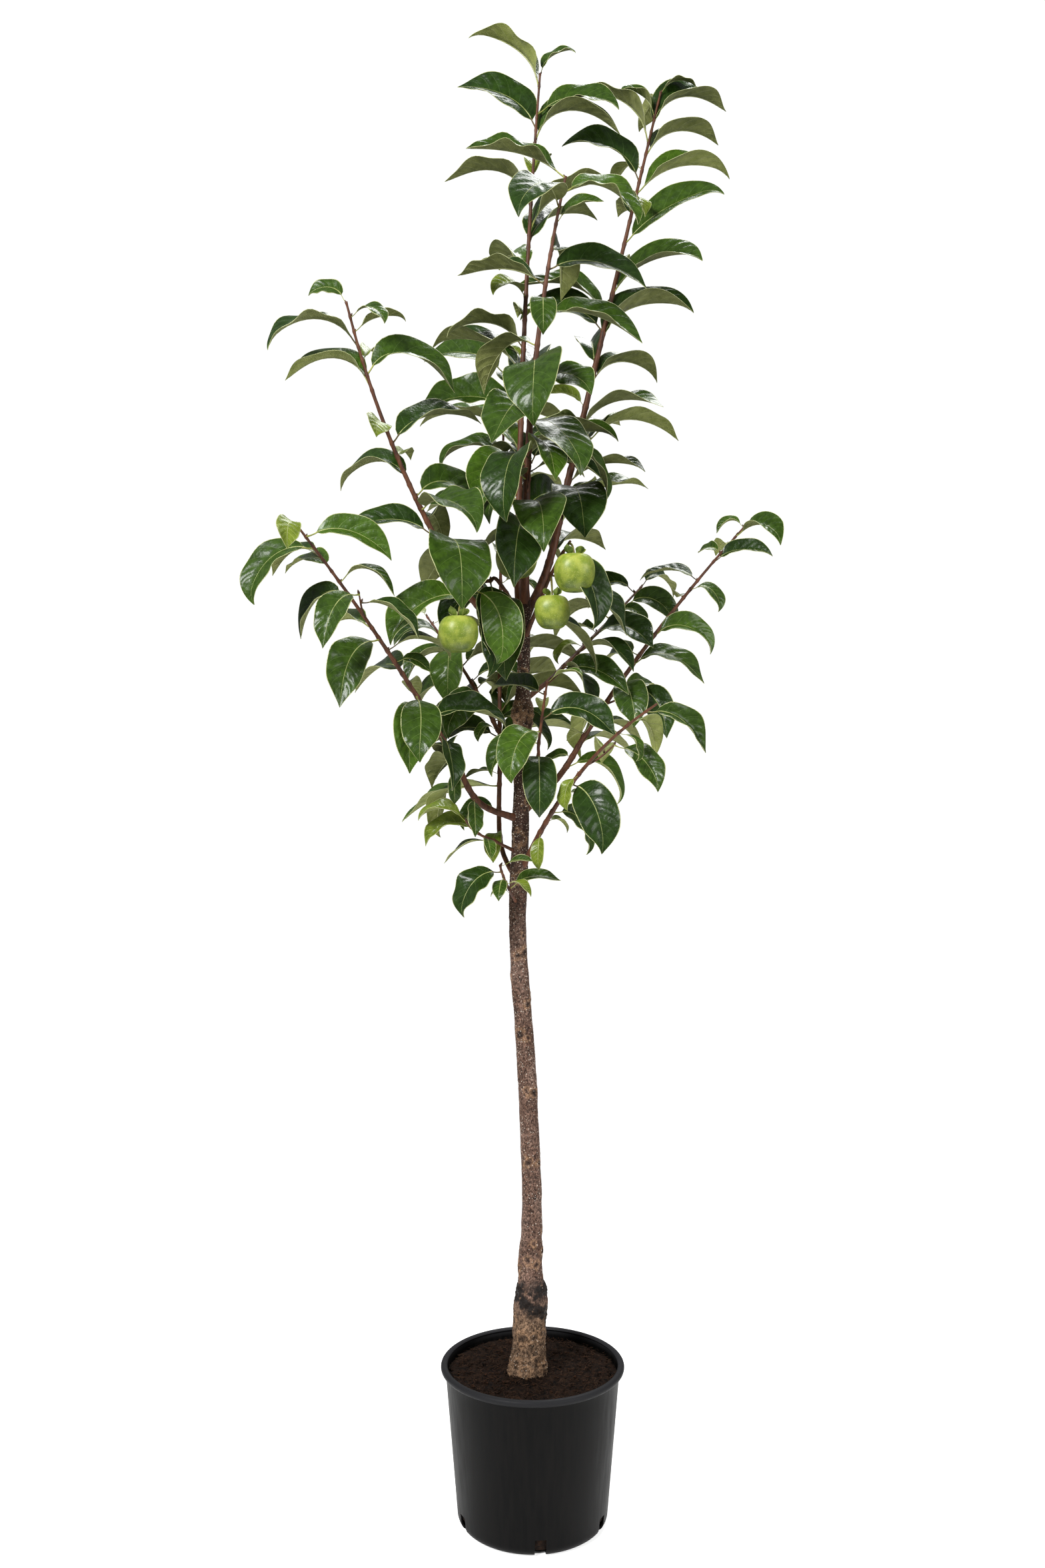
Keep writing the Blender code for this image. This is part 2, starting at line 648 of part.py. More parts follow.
def turned_mesh(name, profile):
    """A profile of (radius, height) pairs turned about the upright axis, made a mesh."""
    mesh = bpy.data.meshes.new(name)
    edges = [(k, k + 1) for k in range(len(profile) - 1)]
    mesh.from_pydata([(radius, 0.0, height) for radius, height in profile], edges, [])
    item = bpy.data.objects.new(name, mesh)
    bpy.context.scene.collection.objects.link(item)
    screw = item.modifiers.new("turn", "SCREW")
    screw.steps = POT_SIDES
    screw.render_steps = POT_SIDES
    screw.use_merge_vertices = True
    screw.merge_threshold = 0.00005
    turned = as_plain_mesh(item)
    bpy.data.objects.remove(item, do_unlink=True)
    keep_outer_shell(turned)
    turned.name = name
    return turned


def wall_radius(height):
    """Outer radius of the pot's wall above its rounded foot."""
    share = (height - FOOT_ROUND) / (POT_HEIGHT - RIM_BEAD - FOOT_ROUND)
    return FOOT_RADIUS + (RIM_RADIUS - RIM_OVERHANG - FOOT_RADIUS) * share


def make_pot(collection, cutters, material):
    under = POT_HEIGHT - RIM_BEAD
    wall = RIM_RADIUS - RIM_OVERHANG
    drop = FOOT_RADIUS - BASE_RADIUS
    bead = [(wall + 0.0024, POT_HEIGHT), (RIM_RADIUS - 0.0024, POT_HEIGHT - 0.0006),
            (RIM_RADIUS, POT_HEIGHT - 0.0035), (RIM_RADIUS, under + 0.0020), (wall, under)]
    foot = [(FOOT_RADIUS - drop * (1 - math.cos(turn)), FOOT_ROUND * (1 - math.sin(turn)))
            for turn in (0, math.pi / 4, math.pi / 2)]
    base = [(0.0, 0.0)]
    inner_foot = FOOT_RADIUS - POT_WALL
    inside = [(0.0, POT_FLOOR), (BASE_RADIUS - POT_WALL, POT_FLOOR),
              (inner_foot - drop * 0.3, POT_FLOOR + FOOT_ROUND * 0.3), (inner_foot, FOOT_ROUND + POT_WALL),
              (wall - POT_WALL, under), (wall + 0.0006, POT_HEIGHT - 0.0020)]
    profile = bead + foot + base + inside + [bead[0]]
    pot = add_mesh("pot", turned_mesh("pot", profile), collection, material)
    inner = BASE_RADIUS - SLOT_REACH
    for k, facing in enumerate(SLOT_ANGLES):
        bpy.ops.mesh.primitive_cube_add(size=1.0)
        slot = bpy.context.object
        slot.name = "slot_" + str(k + 1)
        slot.data.transform(Matrix.Diagonal((SLOT_DEPTH, SLOT_WIDTH, SLOT_TOP + SLOT_BELOW, 1.0)))
        slot.matrix_world = (Matrix.Rotation(math.radians(facing), 4, "Z")
                             @ Matrix.Translation((inner + SLOT_DEPTH / 2, 0.0, (SLOT_TOP - SLOT_BELOW) / 2)))
        move_to(slot, cutters)
        slot.hide_render = True
        slot.display_type = "WIRE"
        cut = pot.modifiers.new("slot", "BOOLEAN")
        cut.operation = "DIFFERENCE"
        cut.object = slot
    return pot


def move_to(item, collection):
    for owner in list(item.users_collection):
        owner.objects.unlink(item)
    collection.objects.link(item)


def make_soil(collection, material):
    """The potting mix: a turned plug just inside the pot's wall and floor."""
    drop = FOOT_RADIUS - BASE_RADIUS
    inner_foot = FOOT_RADIUS - POT_WALL - CLEARANCE
    gap = CLEARANCE * 1.3
    low = POT_FLOOR + gap
    profile = [(0.0, SOIL_TOP), (wall_radius(SOIL_TOP) - POT_WALL - gap, SOIL_TOP),
               (inner_foot - CLEARANCE * 0.3, FOOT_ROUND + POT_WALL), (inner_foot - drop * 0.3 - gap,
               POT_FLOOR + FOOT_ROUND * 0.3), (BASE_RADIUS - POT_WALL - gap, low), (0.0, low)]
    return add_mesh("soil", turned_mesh("soil", profile), collection, material)


def trunk_stations(path, extra=0.0):
    """Points and girths up the trunk; the extra is added all round for its cutter."""
    low = SOIL_TOP + CLEARANCE
    count = round((TRUNK_TOP - low) / TRUNK_STEP)
    heights = [low - extra] + [low + 0.012]
    heights += [low + (TRUNK_TOP - low) * k / count for k in range(1, count)] + [TRUNK_TOP + extra]
    points = []
    for height in heights:
        point = trunk_centre(path, min(max(height, SOIL_TOP), TRUNK_TOP))
        point.z = height
        points.append(point)
    points[0].xy = points[1].xy
    points[-1].xy = points[-2].xy
    return points, [trunk_girth(point.z) + 2 * extra for point in points]


def cut_from(item, cutter_mesh, cutters):
    """Cut a limb clear of another limb and keep the piece that is left."""
    cutter = add_mesh("limb_cutter", cutter_mesh, cutters)
    cutter.hide_render = True
    cutter.display_type = "WIRE"
    cut = item.modifiers.new("cut", "BOOLEAN")
    cut.operation = "DIFFERENCE"
    cut.object = cutter
    mesh = as_plain_mesh(item)
    keep_outer_shell(mesh)
    item.modifiers.remove(cut)
    item.data = mesh
    bpy.data.objects.remove(cutter, do_unlink=True)


def limb_stations(shoot, route, start, end, step):
    marks = route.marks_between(start, end, step)
    return [route.point(mark) for mark in marks], [shoot_girth(shoot, route, mark) for mark in marks]


def meshes_meet(first, second):
    trees = []
    for mesh in (first, second):
        points = [vertex.co.copy() for vertex in mesh.vertices]
        trees.append(BVHTree.FromPolygons(points, [tuple(face.vertices) for face in mesh.polygons]))
    return bool(trees[0].overlap(trees[1]))


def fuse(stem, parts, name):
    """Join the parts to the stem by one union on their collection, then clear the collection away."""
    union = stem.modifiers.new("fuse", "BOOLEAN")
    union.operation = "UNION"
    union.operand_type = "COLLECTION"
    union.collection = parts
    for solver in ("EXACT", "MANIFOLD"):
        union.solver = solver
        mesh = as_plain_mesh(stem)
        keep_outer_shell(mesh)
        if is_closed(mesh):
            break
        print("union of", name, "left an open edge with", solver)
    stem.modifiers.remove(union)
    stem.data = mesh
    mesh.name = name
    for item in list(parts.objects):
        bpy.data.objects.remove(item, do_unlink=True)
    bpy.data.collections.remove(parts)


def add_leaf(leaf, collection):
    points, faces = leaf_mesh_data(leaf)
    mesh = bpy.data.meshes.new("leaf")
    mesh.from_pydata(points, [], faces)
    blade = bmesh.new()
    blade.from_mesh(mesh)
    bmesh.ops.recalc_face_normals(blade, faces=blade.faces)
    blade.to_mesh(mesh)
    blade.free()
    add_mesh("leaf", mesh, collection)


def add_fruit(fruit, collection):
    """A globe with four calyx lobes on its top."""
    globe = bmesh.new()
    bmesh.ops.create_uvsphere(globe, u_segments=12, v_segments=8, radius=fruit.radius)
    bmesh.ops.scale(globe, vec=(1.0, 1.0, 0.95), verts=globe.verts)
    bmesh.ops.translate(globe, vec=fruit.centre, verts=globe.verts)
    mesh = bpy.data.meshes.new("fruit")
    globe.to_mesh(mesh)
    globe.free()
    add_mesh("fruit", mesh, collection)
    for lobe in calyx_lobes(fruit):
        add_leaf(lobe, collection)


def make_tree(collection, cutters, materials):
    middle = trunk_path()
    points, girths = trunk_stations(middle)
    add_mesh("trunk", limb_mesh("trunk", points, girths, 3), collection, materials["trunk_bark"])
    wide = trunk_stations(middle, CLEARANCE)
    space = Space()
    space.add("trunk", tube_data(points, lambda k: girths[k] / 2 + TEST_MARGIN, 12))
    routes = {shoot.name: shoot_path(shoot, middle) for shoot in SHOOTS}
    stems = {}
    boughs = []
    for shoot in SHOOTS:
        route = routes[shoot.name]
        end = bare_length(shoot, route)
        if end:
            stations, sizes = limb_stations(shoot, route, 0.0, end, STEM_STEP / 2)
            bough = add_mesh(shoot.name, limb_mesh(shoot.name, stations, sizes, 1), collection,
                             materials["shoot_bark"])
            cut_from(bough, limb_mesh("trunk_cutter", *wide, 3), cutters)
            for other, other_sizes in boughs:
                cutter = limb_mesh("limb_cutter", other, [size + 2 * CLEARANCE for size in other_sizes], 1)
                if meshes_meet(bough.data, cutter):
                    cut_from(bough, cutter, cutters)
            boughs.append((stations, sizes))
            space.add(shoot.name, tube_data(stations, lambda k: sizes[k] / 2 + TEST_MARGIN, 8))
            end += CLEARANCE
        stations, sizes = limb_stations(shoot, route, end, route.length, STEM_STEP)
        stems[shoot.name] = (end, stations, sizes, grow_stalks(shoot, route, end, space))
        space.add("foliage_" + shoot.name, tube_data(stations, lambda k: sizes[k] / 2 + TEST_MARGIN, 6))
    for shoot in SHOOTS:
        start, stations, sizes, stalks = stems[shoot.name]
        name = "foliage_" + shoot.name
        leaves, twigs = grow_mass(shoot, routes[shoot.name], start, space)
        stem = add_mesh(name, limb_mesh(name, stations, sizes, 0), collection)
        parts = new_collection(name + "_parts")
        for leaf in leaves:
            add_leaf(leaf, parts)
        for twig in stalks + twigs:
            add_mesh("twig", limb_mesh("twig", twig.points, [twig.girth] * len(twig.points), 0), parts)
        for fruit in FRUITS:
            if fruit.shoot == shoot.name:
                add_fruit(fruit, parts)
        fuse(stem, parts, name)
        if not start:
            cut_from(stem, limb_mesh("trunk_cutter", *wide, 3), cutters)
        stem.data.materials.clear()
        stem.data.materials.append(materials["foliage"])


def main():
    clear_scene()
    collection = new_collection("potted_persimmon_tree")
    cutters = new_collection("cutters")
    materials = make_materials()
    make_pot(collection, cutters, materials["black_plastic"])
    make_soil(collection, materials["potting_mix"])
    make_tree(collection, cutters, materials)


main()
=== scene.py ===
"""Looks of a young grafted persimmon tree in a black nursery pot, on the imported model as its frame.

Metres, +Z up, -Y the front. The limbs and masses of foliage grow again by the same rule and seeds as the
solids, so each leaf, twig and fruit is dressed where its solid is.
"""

import math
import random
from collections import namedtuple

import bmesh
import bpy
import numpy as np
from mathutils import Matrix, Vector
from mathutils.bvhtree import BVHTree


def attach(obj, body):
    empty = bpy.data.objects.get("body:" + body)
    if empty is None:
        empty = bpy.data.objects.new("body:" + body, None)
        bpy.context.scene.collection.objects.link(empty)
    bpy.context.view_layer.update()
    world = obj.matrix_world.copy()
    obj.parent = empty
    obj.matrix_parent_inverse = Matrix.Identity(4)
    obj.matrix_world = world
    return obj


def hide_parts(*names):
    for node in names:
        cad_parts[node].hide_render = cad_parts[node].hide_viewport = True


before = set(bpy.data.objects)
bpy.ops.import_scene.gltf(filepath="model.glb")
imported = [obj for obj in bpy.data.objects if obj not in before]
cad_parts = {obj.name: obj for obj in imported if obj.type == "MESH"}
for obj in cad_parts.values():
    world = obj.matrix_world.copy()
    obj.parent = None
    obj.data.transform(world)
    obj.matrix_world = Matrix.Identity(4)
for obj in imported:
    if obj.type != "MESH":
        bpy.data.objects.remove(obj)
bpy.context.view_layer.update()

MM = 0.001

# ---------------------------------------------------------------- sizes shared with the solids
CLEARANCE = 0.0003
RIM_RADIUS = 0.150
POT_HEIGHT = 0.2545
RIM_BEAD = 0.0115
RIM_OVERHANG = 0.0078
FOOT_RADIUS = 0.1228
BASE_RADIUS = 0.110
FOOT_ROUND = 0.015
POT_WALL = 0.0018
POT_FLOOR = 0.0030
SLOT_WIDTH = 0.018
SLOT_TOP = 0.028
SLOT_REACH = 0.007
SLOT_BELOW = 0.004
SLOT_CORNER = 0.0015
SLOT_ANGLES = (-155.0, -84.5, -26.5, 34.0, 93.0, 149.0)
SOIL_TOP = 0.239

TRUNK_TOP = 1.500
# Height, sideways place and depth of the trunk's middle.
TRUNK_LINE = [
    (SOIL_TOP, -0.009, 0.000), (0.355, -0.002, 0.002), (0.415, -0.004, 0.001), (0.520, -0.001, 0.001),
    (0.740, -0.010, -0.002), (0.950, -0.024, -0.003), (1.150, -0.019, 0.000), (TRUNK_TOP, -0.013, 0.000),
]
# Height and girth of the plain taper, above and below the graft.
TRUNK_TAPER = [
    (SOIL_TOP, 0.0620), (0.256, 0.0580), (0.300, 0.0550), (0.370, 0.0455), (0.400, 0.0405), (0.436, 0.0392),
    (0.458, 0.0340), (0.560, 0.0326), (0.860, 0.0298), (1.180, 0.0262), (TRUNK_TOP, 0.0195),
]
# Height, half height and added girth of the graft, the boughs' collars and the pruned leader's knuckle.
TRUNK_SWELLINGS = [
    (0.352, 0.022, 0.0085), (1.050, 0.030, 0.0035), (1.145, 0.022, 0.0020), (1.312, 0.026, 0.0125),
]

TRUNK_STEP = 0.034
STEM_STEP = 0.038
END_FACE = 0.004
LEAF_LENGTH = 0.143
LEAF_BREADTH = 0.49
YOUNG_BLADE = 0.090
YOUNG_LEAF = 0.48
FRONT_NOD = 40
FRONT_GROWTH = 0.12
FRONT_SPREAD = 0.5
BACK_RISE = 24
LIGHT_ROLL = 34
TIP_RISE = (10, 14)
SIZE_RANGE = (0.80, 1.14)
BREADTH_RANGE = (0.88, 1.12)
FOLD_RANGE = (18, 48)
TURN_SPREAD = 16
LIFT_SPREAD = 16
DROOP_SPREAD = 28
ROLL_SPREAD = 26
SWEEP_SPREAD = 34
LOWEST_DROOP = -100
LEAF_BEND = 1.7
PETIOLE = 0.017
PETIOLE_GIRTH = 0.0026
LEAF_RIB = 0.024
PETIOLE_RANGE = (0.8, 1.25)
TEST_MARGIN = 0.0012
STEM_CLEAR = 0.006
FIRST_LEAF = 0.014
FIRST_STALK = 0.012
NODS = (0, -14, 14, -28)
TURNS = (0, 14, -14, 28, -28, 44, -44)
TWIG_LENGTH = 0.060
TWIG_GIRTH = 0.0034
TWIG_RANGE = (0.8, 1.3)
TWIG_TURN = 70
TWIG_RISE = (25, 50)
TWIG_SAG = 0.06
TWIG_LEAVES = ((0.62, 70, 0.80), (0.97, -20, 0.92))
STALK_GIRTH = 0.0036
CALYX_LOBES = 4
CALYX_HEIGHT = 0.86
CALYX_REACH = 0.0028
CALYX_TURN = 40
CALYX_LOBE = (14, 40, -8)
CALYX_SIZE = (0.80, 0.85)
FRUIT_ROOM = 0.003

# Where a leaf points, in degrees, by its letter's place round S on a keyboard: A left, D right, W to the
# back, X to the front, and Q, E, Z and C between them.
HEADINGS = {"D": 0, "E": 45, "W": 90, "Q": 135, "A": 180, "Z": 225, "X": 270, "C": 315}

Shoot = namedtuple("Shoot", "name root elbow tip bow girth bare habit leaves")
Habit = namedtuple("Habit", "lift droop size")
Fruit = namedtuple("Fruit", "shoot share centre radius")
Leaf = namedtuple("Leaf", "base heading lift droop length width fold roll sweep petiole")
Twig = namedtuple("Twig", "points girth")

UPRIGHT = Habit(54, -24, 1.14)
SPREADING = Habit(42, -36, 1.04)
NODDING = Habit(24, -58, 0.84)
HANGING = Habit(8, -76, 0.78)
FACING = Habit(-8, -80, 0.90)
SMALL = Habit(24, -40, 0.62)

# A small letter is a young leaf, T a side twig and a dot a bare node.
SHOOTS = [
    Shoot("leader_left", 1.425, (-0.024, 0.025, 1.526), (0.013, 0.050, 2.388), (-0.008, 0.018, 0.000),
          (0.0130, 0.0036), 0.075, UPRIGHT, "XE.QWTDQ.A.WdAqA.w.z.Q.ED.A.w.eDAD.Ad"),
    Shoot("leader_centre", 1.490, (-0.011, -0.020, 1.606), (0.051, -0.100, 2.150), (-0.015, 0.001, 0.001),
          (0.0150, 0.0038), 0.012, SPREADING, "ZXTXZXCXZCX.Q.DxADE.dXDA"),
    Shoot("leader_right", 1.470, (0.026, 0.045, 1.562), (0.223, 0.130, 2.397), (-0.001, 0.013, -0.001),
          (0.0145, 0.0036), 0.010, UPRIGHT, "E.WDQCDWT.Dza.DW.DAQ.D.w.D.wxDAqDADaed"),
    Shoot("bough_left_high", 1.400, (-0.106, -0.060, 1.505), (-0.286, -0.150, 1.936),
          (-0.017, -0.007, -0.008), (0.0115, 0.0036), 0.034, SPREADING, "EWXAQCDA.wEz..ADwAdca"),
    Shoot("bough_left_low", 1.140, (-0.087, -0.040, 1.170), (-0.351, -0.220, 1.583), (0.007, 0.008, 0.008),
          (0.0110, 0.0034), 0.010, NODDING, "xAzQWZaEZXwAdDZQT.ADAAQDx"),
    Shoot("bough_left_back", 1.250, (-0.052, 0.030, 1.281), (-0.187, 0.200, 1.498), (0.004, 0.001, 0.002),
          (0.0085, 0.0034), 0.010, NODDING, "aDTAQWE.WAX.A.dq"),
    Shoot("bough_back", 1.035, (-0.053, 0.030, 1.104), (-0.047, 0.190, 1.929), (-0.005, 0.025, -0.005),
          (0.0085, 0.0034), 0.010, SPREADING, "x.a.Zq.DAWE.W.D.EQ.A.e.W.ETQ.W.AD.QE.dwA"),
    Shoot("bough_right", 1.150, (0.045, 0.020, 1.213), (0.370, 0.140, 1.647), (-0.011, 0.006, 0.007),
          (0.0112, 0.0034), 0.015, NODDING, "DaEwDQT.C.DQ.D...wcQ.DqwDa"),
    Shoot("bough_right_low", 1.050, (0.007, -0.030, 1.111), (0.185, -0.190, 1.319), (-0.009, 0.010, 0.017),
          (0.0095, 0.0034), 0.010, HANGING, "xeD.dCxT...cE.D."),
    Shoot("bough_right_back", 1.335, (0.026, 0.030, 1.369), (0.199, 0.230, 1.556), (0.000, 0.001, -0.002),
          (0.0085, 0.0034), 0.024, NODDING, "DX.DaDw.QdD.AE"),
    Shoot("shoot_front", 1.185, (0.007, -0.035, 1.238), (0.023, -0.080, 1.362), (-0.001, -0.002, 0.000),
          (0.0065, 0.0032), 0.006, NODDING, "XAZDwQd"),
    Shoot("spur_left", 1.465, (-0.055, -0.060, 1.522), (-0.112, -0.150, 1.468), (-0.006, -0.004, 0.013),
          (0.0080, 0.0040), None, FACING, "..X.ZXCA."),
    Shoot("spur_right", 1.435, (0.013, -0.050, 1.494), (0.057, -0.140, 1.572), (-0.003, 0.000, 0.002),
          (0.0080, 0.0040), None, FACING, "..E..D.C."),
    Shoot("sprout_left", 1.085, (-0.064, -0.030, 1.108), (-0.105, -0.080, 1.140), (-0.004, 0.001, -0.003),
          (0.0055, 0.0032), None, SMALL, "..ZxAQA"),
    Shoot("sprout_front", 1.000, (-0.035, -0.034, 1.024), (-0.052, -0.062, 1.070), (-0.003, 0.000, 0.002),
          (0.0050, 0.0032), None, SMALL, "..aDcxZd"),
]

FRUITS = [
    Fruit("leader_centre", 0.00, (-0.026, -0.059, 1.558), 0.0325),
    Fruit("spur_left", 0.98, (-0.114, -0.158, 1.428), 0.0305),
    Fruit("spur_right", 0.98, (0.063, -0.152, 1.522), 0.0320),
    Fruit("spur_right", 0.62, (0.030, -0.112, 1.467), 0.0285),
]


# ---------------------------------------------------------------- lines and tapers
def between(table, value):
    """Read a two-column table at a value, in straight steps."""
    if value <= table[0][0]:
        return table[0][1]
    for (low, first), (high, second) in zip(table, table[1:]):
        if value <= high:
            return first + (second - first) * (value - low) / (high - low)
    return table[-1][1]


def smooth_line(points, steps):
    """A smooth curve through the points (Catmull-Rom), as a list of points close together."""
    ends = [points[0] * 2 - points[1]] + points + [points[-1] * 2 - points[-2]]
    line = []
    for a, b, c, d in zip(ends, ends[1:], ends[2:], ends[3:]):
        for step in range(steps):
            t = step / steps
            line.append(0.5 * (b * 2 + (c - a) * t + (a * 2 - b * 5 + c * 4 - d) * t ** 2
                               + (b * 3 - a - c * 3 + d) * t ** 3))
    line.append(points[-1].copy())
    return line


class Path:
    """A smooth route that can be read by the distance along it."""

    def __init__(self, points, steps=14):
        self.line = smooth_line(points, steps)
        self.marks = [0.0]
        for a, b in zip(self.line, self.line[1:]):
            self.marks.append(self.marks[-1] + (b - a).length)
        self.length = self.marks[-1]

    def point(self, distance):
        """The place at a distance along the route, held to its ends."""
        distance = min(max(distance, 0.0), self.length)
        for a, b, low, high in zip(self.line, self.line[1:], self.marks, self.marks[1:]):
            if distance <= high:
                return a.lerp(b, (distance - low) / (high - low))
        return self.line[-1].copy()

    def marks_between(self, start, end, step):
        """Distances from start to end, about a step apart, with one close to each end to square its face."""
        count = max(2, round((end - start) / step))
        inner = [start + (end - start) * k / count for k in range(1, count)]
        return [start, start + END_FACE] + inner + [end - END_FACE, end]


def trunk_path():
    """The trunk's middle line, smooth through its named places."""
    return Path([Vector((x, y, z)) for z, x, y in TRUNK_LINE], 20)


def trunk_centre(path, height):
    """The place on the trunk's middle line at a height."""
    for a, b in zip(path.line, path.line[1:]):
        if height <= b.z:
            return a.lerp(b, (height - a.z) / (b.z - a.z))
    return path.line[-1].copy()


def trunk_girth(height):
    """The plain taper plus each swelling, as extra * exp(-((height - middle) / reach)^2)."""
    girth = between(TRUNK_TAPER, height)
    for middle, reach, extra in TRUNK_SWELLINGS:
        girth += extra * math.exp(-((height - middle) / reach) ** 2)
    return girth


def shoot_path(shoot, trunk):
    """A shoot's route: from the trunk's middle to its elbow, then a bowed run up to its tip."""
    elbow = Vector(shoot.elbow)
    tip = Vector(shoot.tip)
    run = []
    for k in range(1, 7):
        t = k / 6
        run.append(elbow.lerp(tip, t) + Vector(shoot.bow) * 4 * t * (1 - t))
    return Path([trunk_centre(trunk, shoot.root), elbow] + run)


def shoot_girth(shoot, path, distance):
    """The limb tapers evenly and swells into a collar at the trunk."""
    first, last = shoot.girth
    collar = 1 + 0.30 * math.exp(-(distance / 0.022) ** 2)
    return (first + (last - first) * distance / path.length) * collar


def bare_length(shoot, path):
    """Where the bare bough ends and its mass of foliage begins."""
    if shoot.bare is None:
        return 0.0
    return (Vector(shoot.elbow) - path.line[0]).length + shoot.bare - 0.012


# ---------------------------------------------------------------- growth rule, as in the solids
def leaf_frames(leaf, shares):
    """Middle points of a blade at the given shares of its length, with the ways across and up."""
    steps = 12
    place = leaf.base + direction(leaf.heading, leaf.lift) * leaf.petiole
    places = [place.copy()]
    for k in range(steps):
        t = (k + 0.5) / steps
        way = direction(leaf.heading + leaf.sweep * t, elevation_at(leaf, t))
        place = place + way * leaf.length / steps
        places.append(place)
    frames = []
    for share in shares:
        k = min(int(share * steps), steps - 1)
        middle = places[k].lerp(places[k + 1], share * steps - k)
        heading = math.radians(leaf.heading + leaf.sweep * share)
        elevation = math.radians(elevation_at(leaf, share))
        across = Vector((-math.sin(heading), math.cos(heading), 0.0))
        up = Vector((-math.sin(elevation) * math.cos(heading), -math.sin(elevation) * math.sin(heading),
                     math.cos(elevation)))
        roll = math.radians(leaf.roll)
        frames.append((middle, across * math.cos(roll) + up * math.sin(roll),
                       up * math.cos(roll) - across * math.sin(roll)))
    return frames


def elevation_at(leaf, share):
    """A blade bends most near its petiole: the droop is reached as 1 - (1 - share)^LEAF_BEND."""
    return leaf.lift + (leaf.droop - leaf.lift) * (1 - (1 - share) ** LEAF_BEND)


def direction(heading, elevation):
    """The unit way at a heading round the plant and an elevation above level, both in degrees."""
    heading = math.radians(heading)
    elevation = math.radians(elevation)
    level = math.cos(elevation)
    return Vector((level * math.cos(heading), level * math.sin(heading), math.sin(elevation)))


def leaf_rings(leaf, margin=0.0):
    """Four-sided rings of a folded leaf: the sunk root, the petiole's end and one or two on the blade."""
    outline = [(0.0, 0.05), (0.45, 1.0)]
    if leaf.length > YOUNG_BLADE:
        outline = [(0.0, 0.05), (0.34, 1.0), (0.72, 0.68)]
    frames = leaf_frames(leaf, [share for share, _ in outline] + [1.0])
    rings = []
    stalk = PETIOLE_GIRTH / 2 + margin
    middle, across, up = frames[0]
    rings.append([leaf.base + across * stalk, leaf.base + up * stalk,
                  leaf.base - across * stalk, leaf.base - up * stalk])
    thick = leaf.length * LEAF_RIB / 2 + margin
    fold = math.radians(leaf.fold)
    for (share, breadth), (middle, across, up) in zip(outline, frames):
        half = max(leaf.width / 2 * breadth, stalk) + margin
        rise = up * (half * math.sin(fold) * min(1.0, share * 6))
        side = across * half * math.cos(fold)
        rings.append([middle + side + rise, middle + up * thick, middle - side + rise, middle - up * thick])
    return rings, frames[-1][0]


def leaf_mesh_data(leaf, margin=0.0):
    """Vertices and triangles of a leaf: a loft over its rings, closed by its root and its tip.

    Above and below, each quad is split from the midrib forward to the margin, so that a twisted blade
    keeps its thickness.
    """
    rings, tip = leaf_rings(leaf, margin)
    points = [point for ring in rings for point in ring] + [tip]
    faces = [(0, 1, 2), (0, 2, 3)]
    for k in range(len(rings) - 1):
        for side in range(4):
            a = 4 * k + side
            b = 4 * k + (side + 1) % 4
            if side % 2:
                faces += [(a, a + 4, b + 4), (a, b + 4, b)]
            else:
                faces += [(a, a + 4, b), (b, a + 4, b + 4)]
    last = 4 * (len(rings) - 1)
    faces += [(last + side, len(points) - 1, last + (side + 1) % 4) for side in range(4)]
    return points, faces


def tube_data(points, radius, sides=5):
    """Vertices and triangles of an open tube, used to try a limb or a stalk for room."""
    rows = []
    for k, point in enumerate(points):
        way = (points[min(k + 1, len(points) - 1)] - points[max(k - 1, 0)]).normalized()
        across = way.orthogonal().normalized()
        other = way.cross(across)
        for side in range(sides):
            turn = math.tau * side / sides
            rows.append(point + (across * math.cos(turn) + other * math.sin(turn)) * radius(k))
    faces = []
    for a, b, c, d in grid_quads(len(points), sides, closed=True).tolist():
        faces += [(a, b, d), (b, c, d)]
    return rows, faces


def ball_data(centre, radius):
    """Vertices and faces of a closed globe, used to keep leaves out of a fruit."""
    rings = 7
    sides = 12
    rows = []
    for k in range(1, rings + 1):
        rows += [Vector(centre) + direction(360 * side / sides, 90 - 180 * k / (rings + 1)) * radius
                 for side in range(sides)]
    caps = [tuple(range(sides)), tuple(range(sides * (rings - 1), sides * rings))]
    return rows, caps + [tuple(quad) for quad in grid_quads(rings, sides, closed=True).tolist()]


class Space:
    """What each node has taken up so far, so that the next leaf can be tried for room."""

    def __init__(self):
        self.taken = []

    @staticmethod
    def box(points):
        """The lowest and the highest corner round the points."""
        return (Vector([min(point[k] for point in points) for k in range(3)]),
                Vector([max(point[k] for point in points) for k in range(3)]))

    def add(self, node, data):
        """Keep a shape's room for a node."""
        self.taken.append((node, *self.box(data[0]), BVHTree.FromPolygons(*data)))

    def clashes(self, node, data):
        """Whether a shape meets another node, and how many times it meets its own."""
        low, high = self.box(data[0])
        tree = None
        own = 0
        for owner, lowest, highest, other in self.taken:
            if any(low[k] > highest[k] or high[k] < lowest[k] for k in range(3)):
                continue
            tree = tree or BVHTree.FromPolygons(*data)
            if tree.overlap(other):
                if owner != node:
                    return True, own
                own += 1
        return False, own


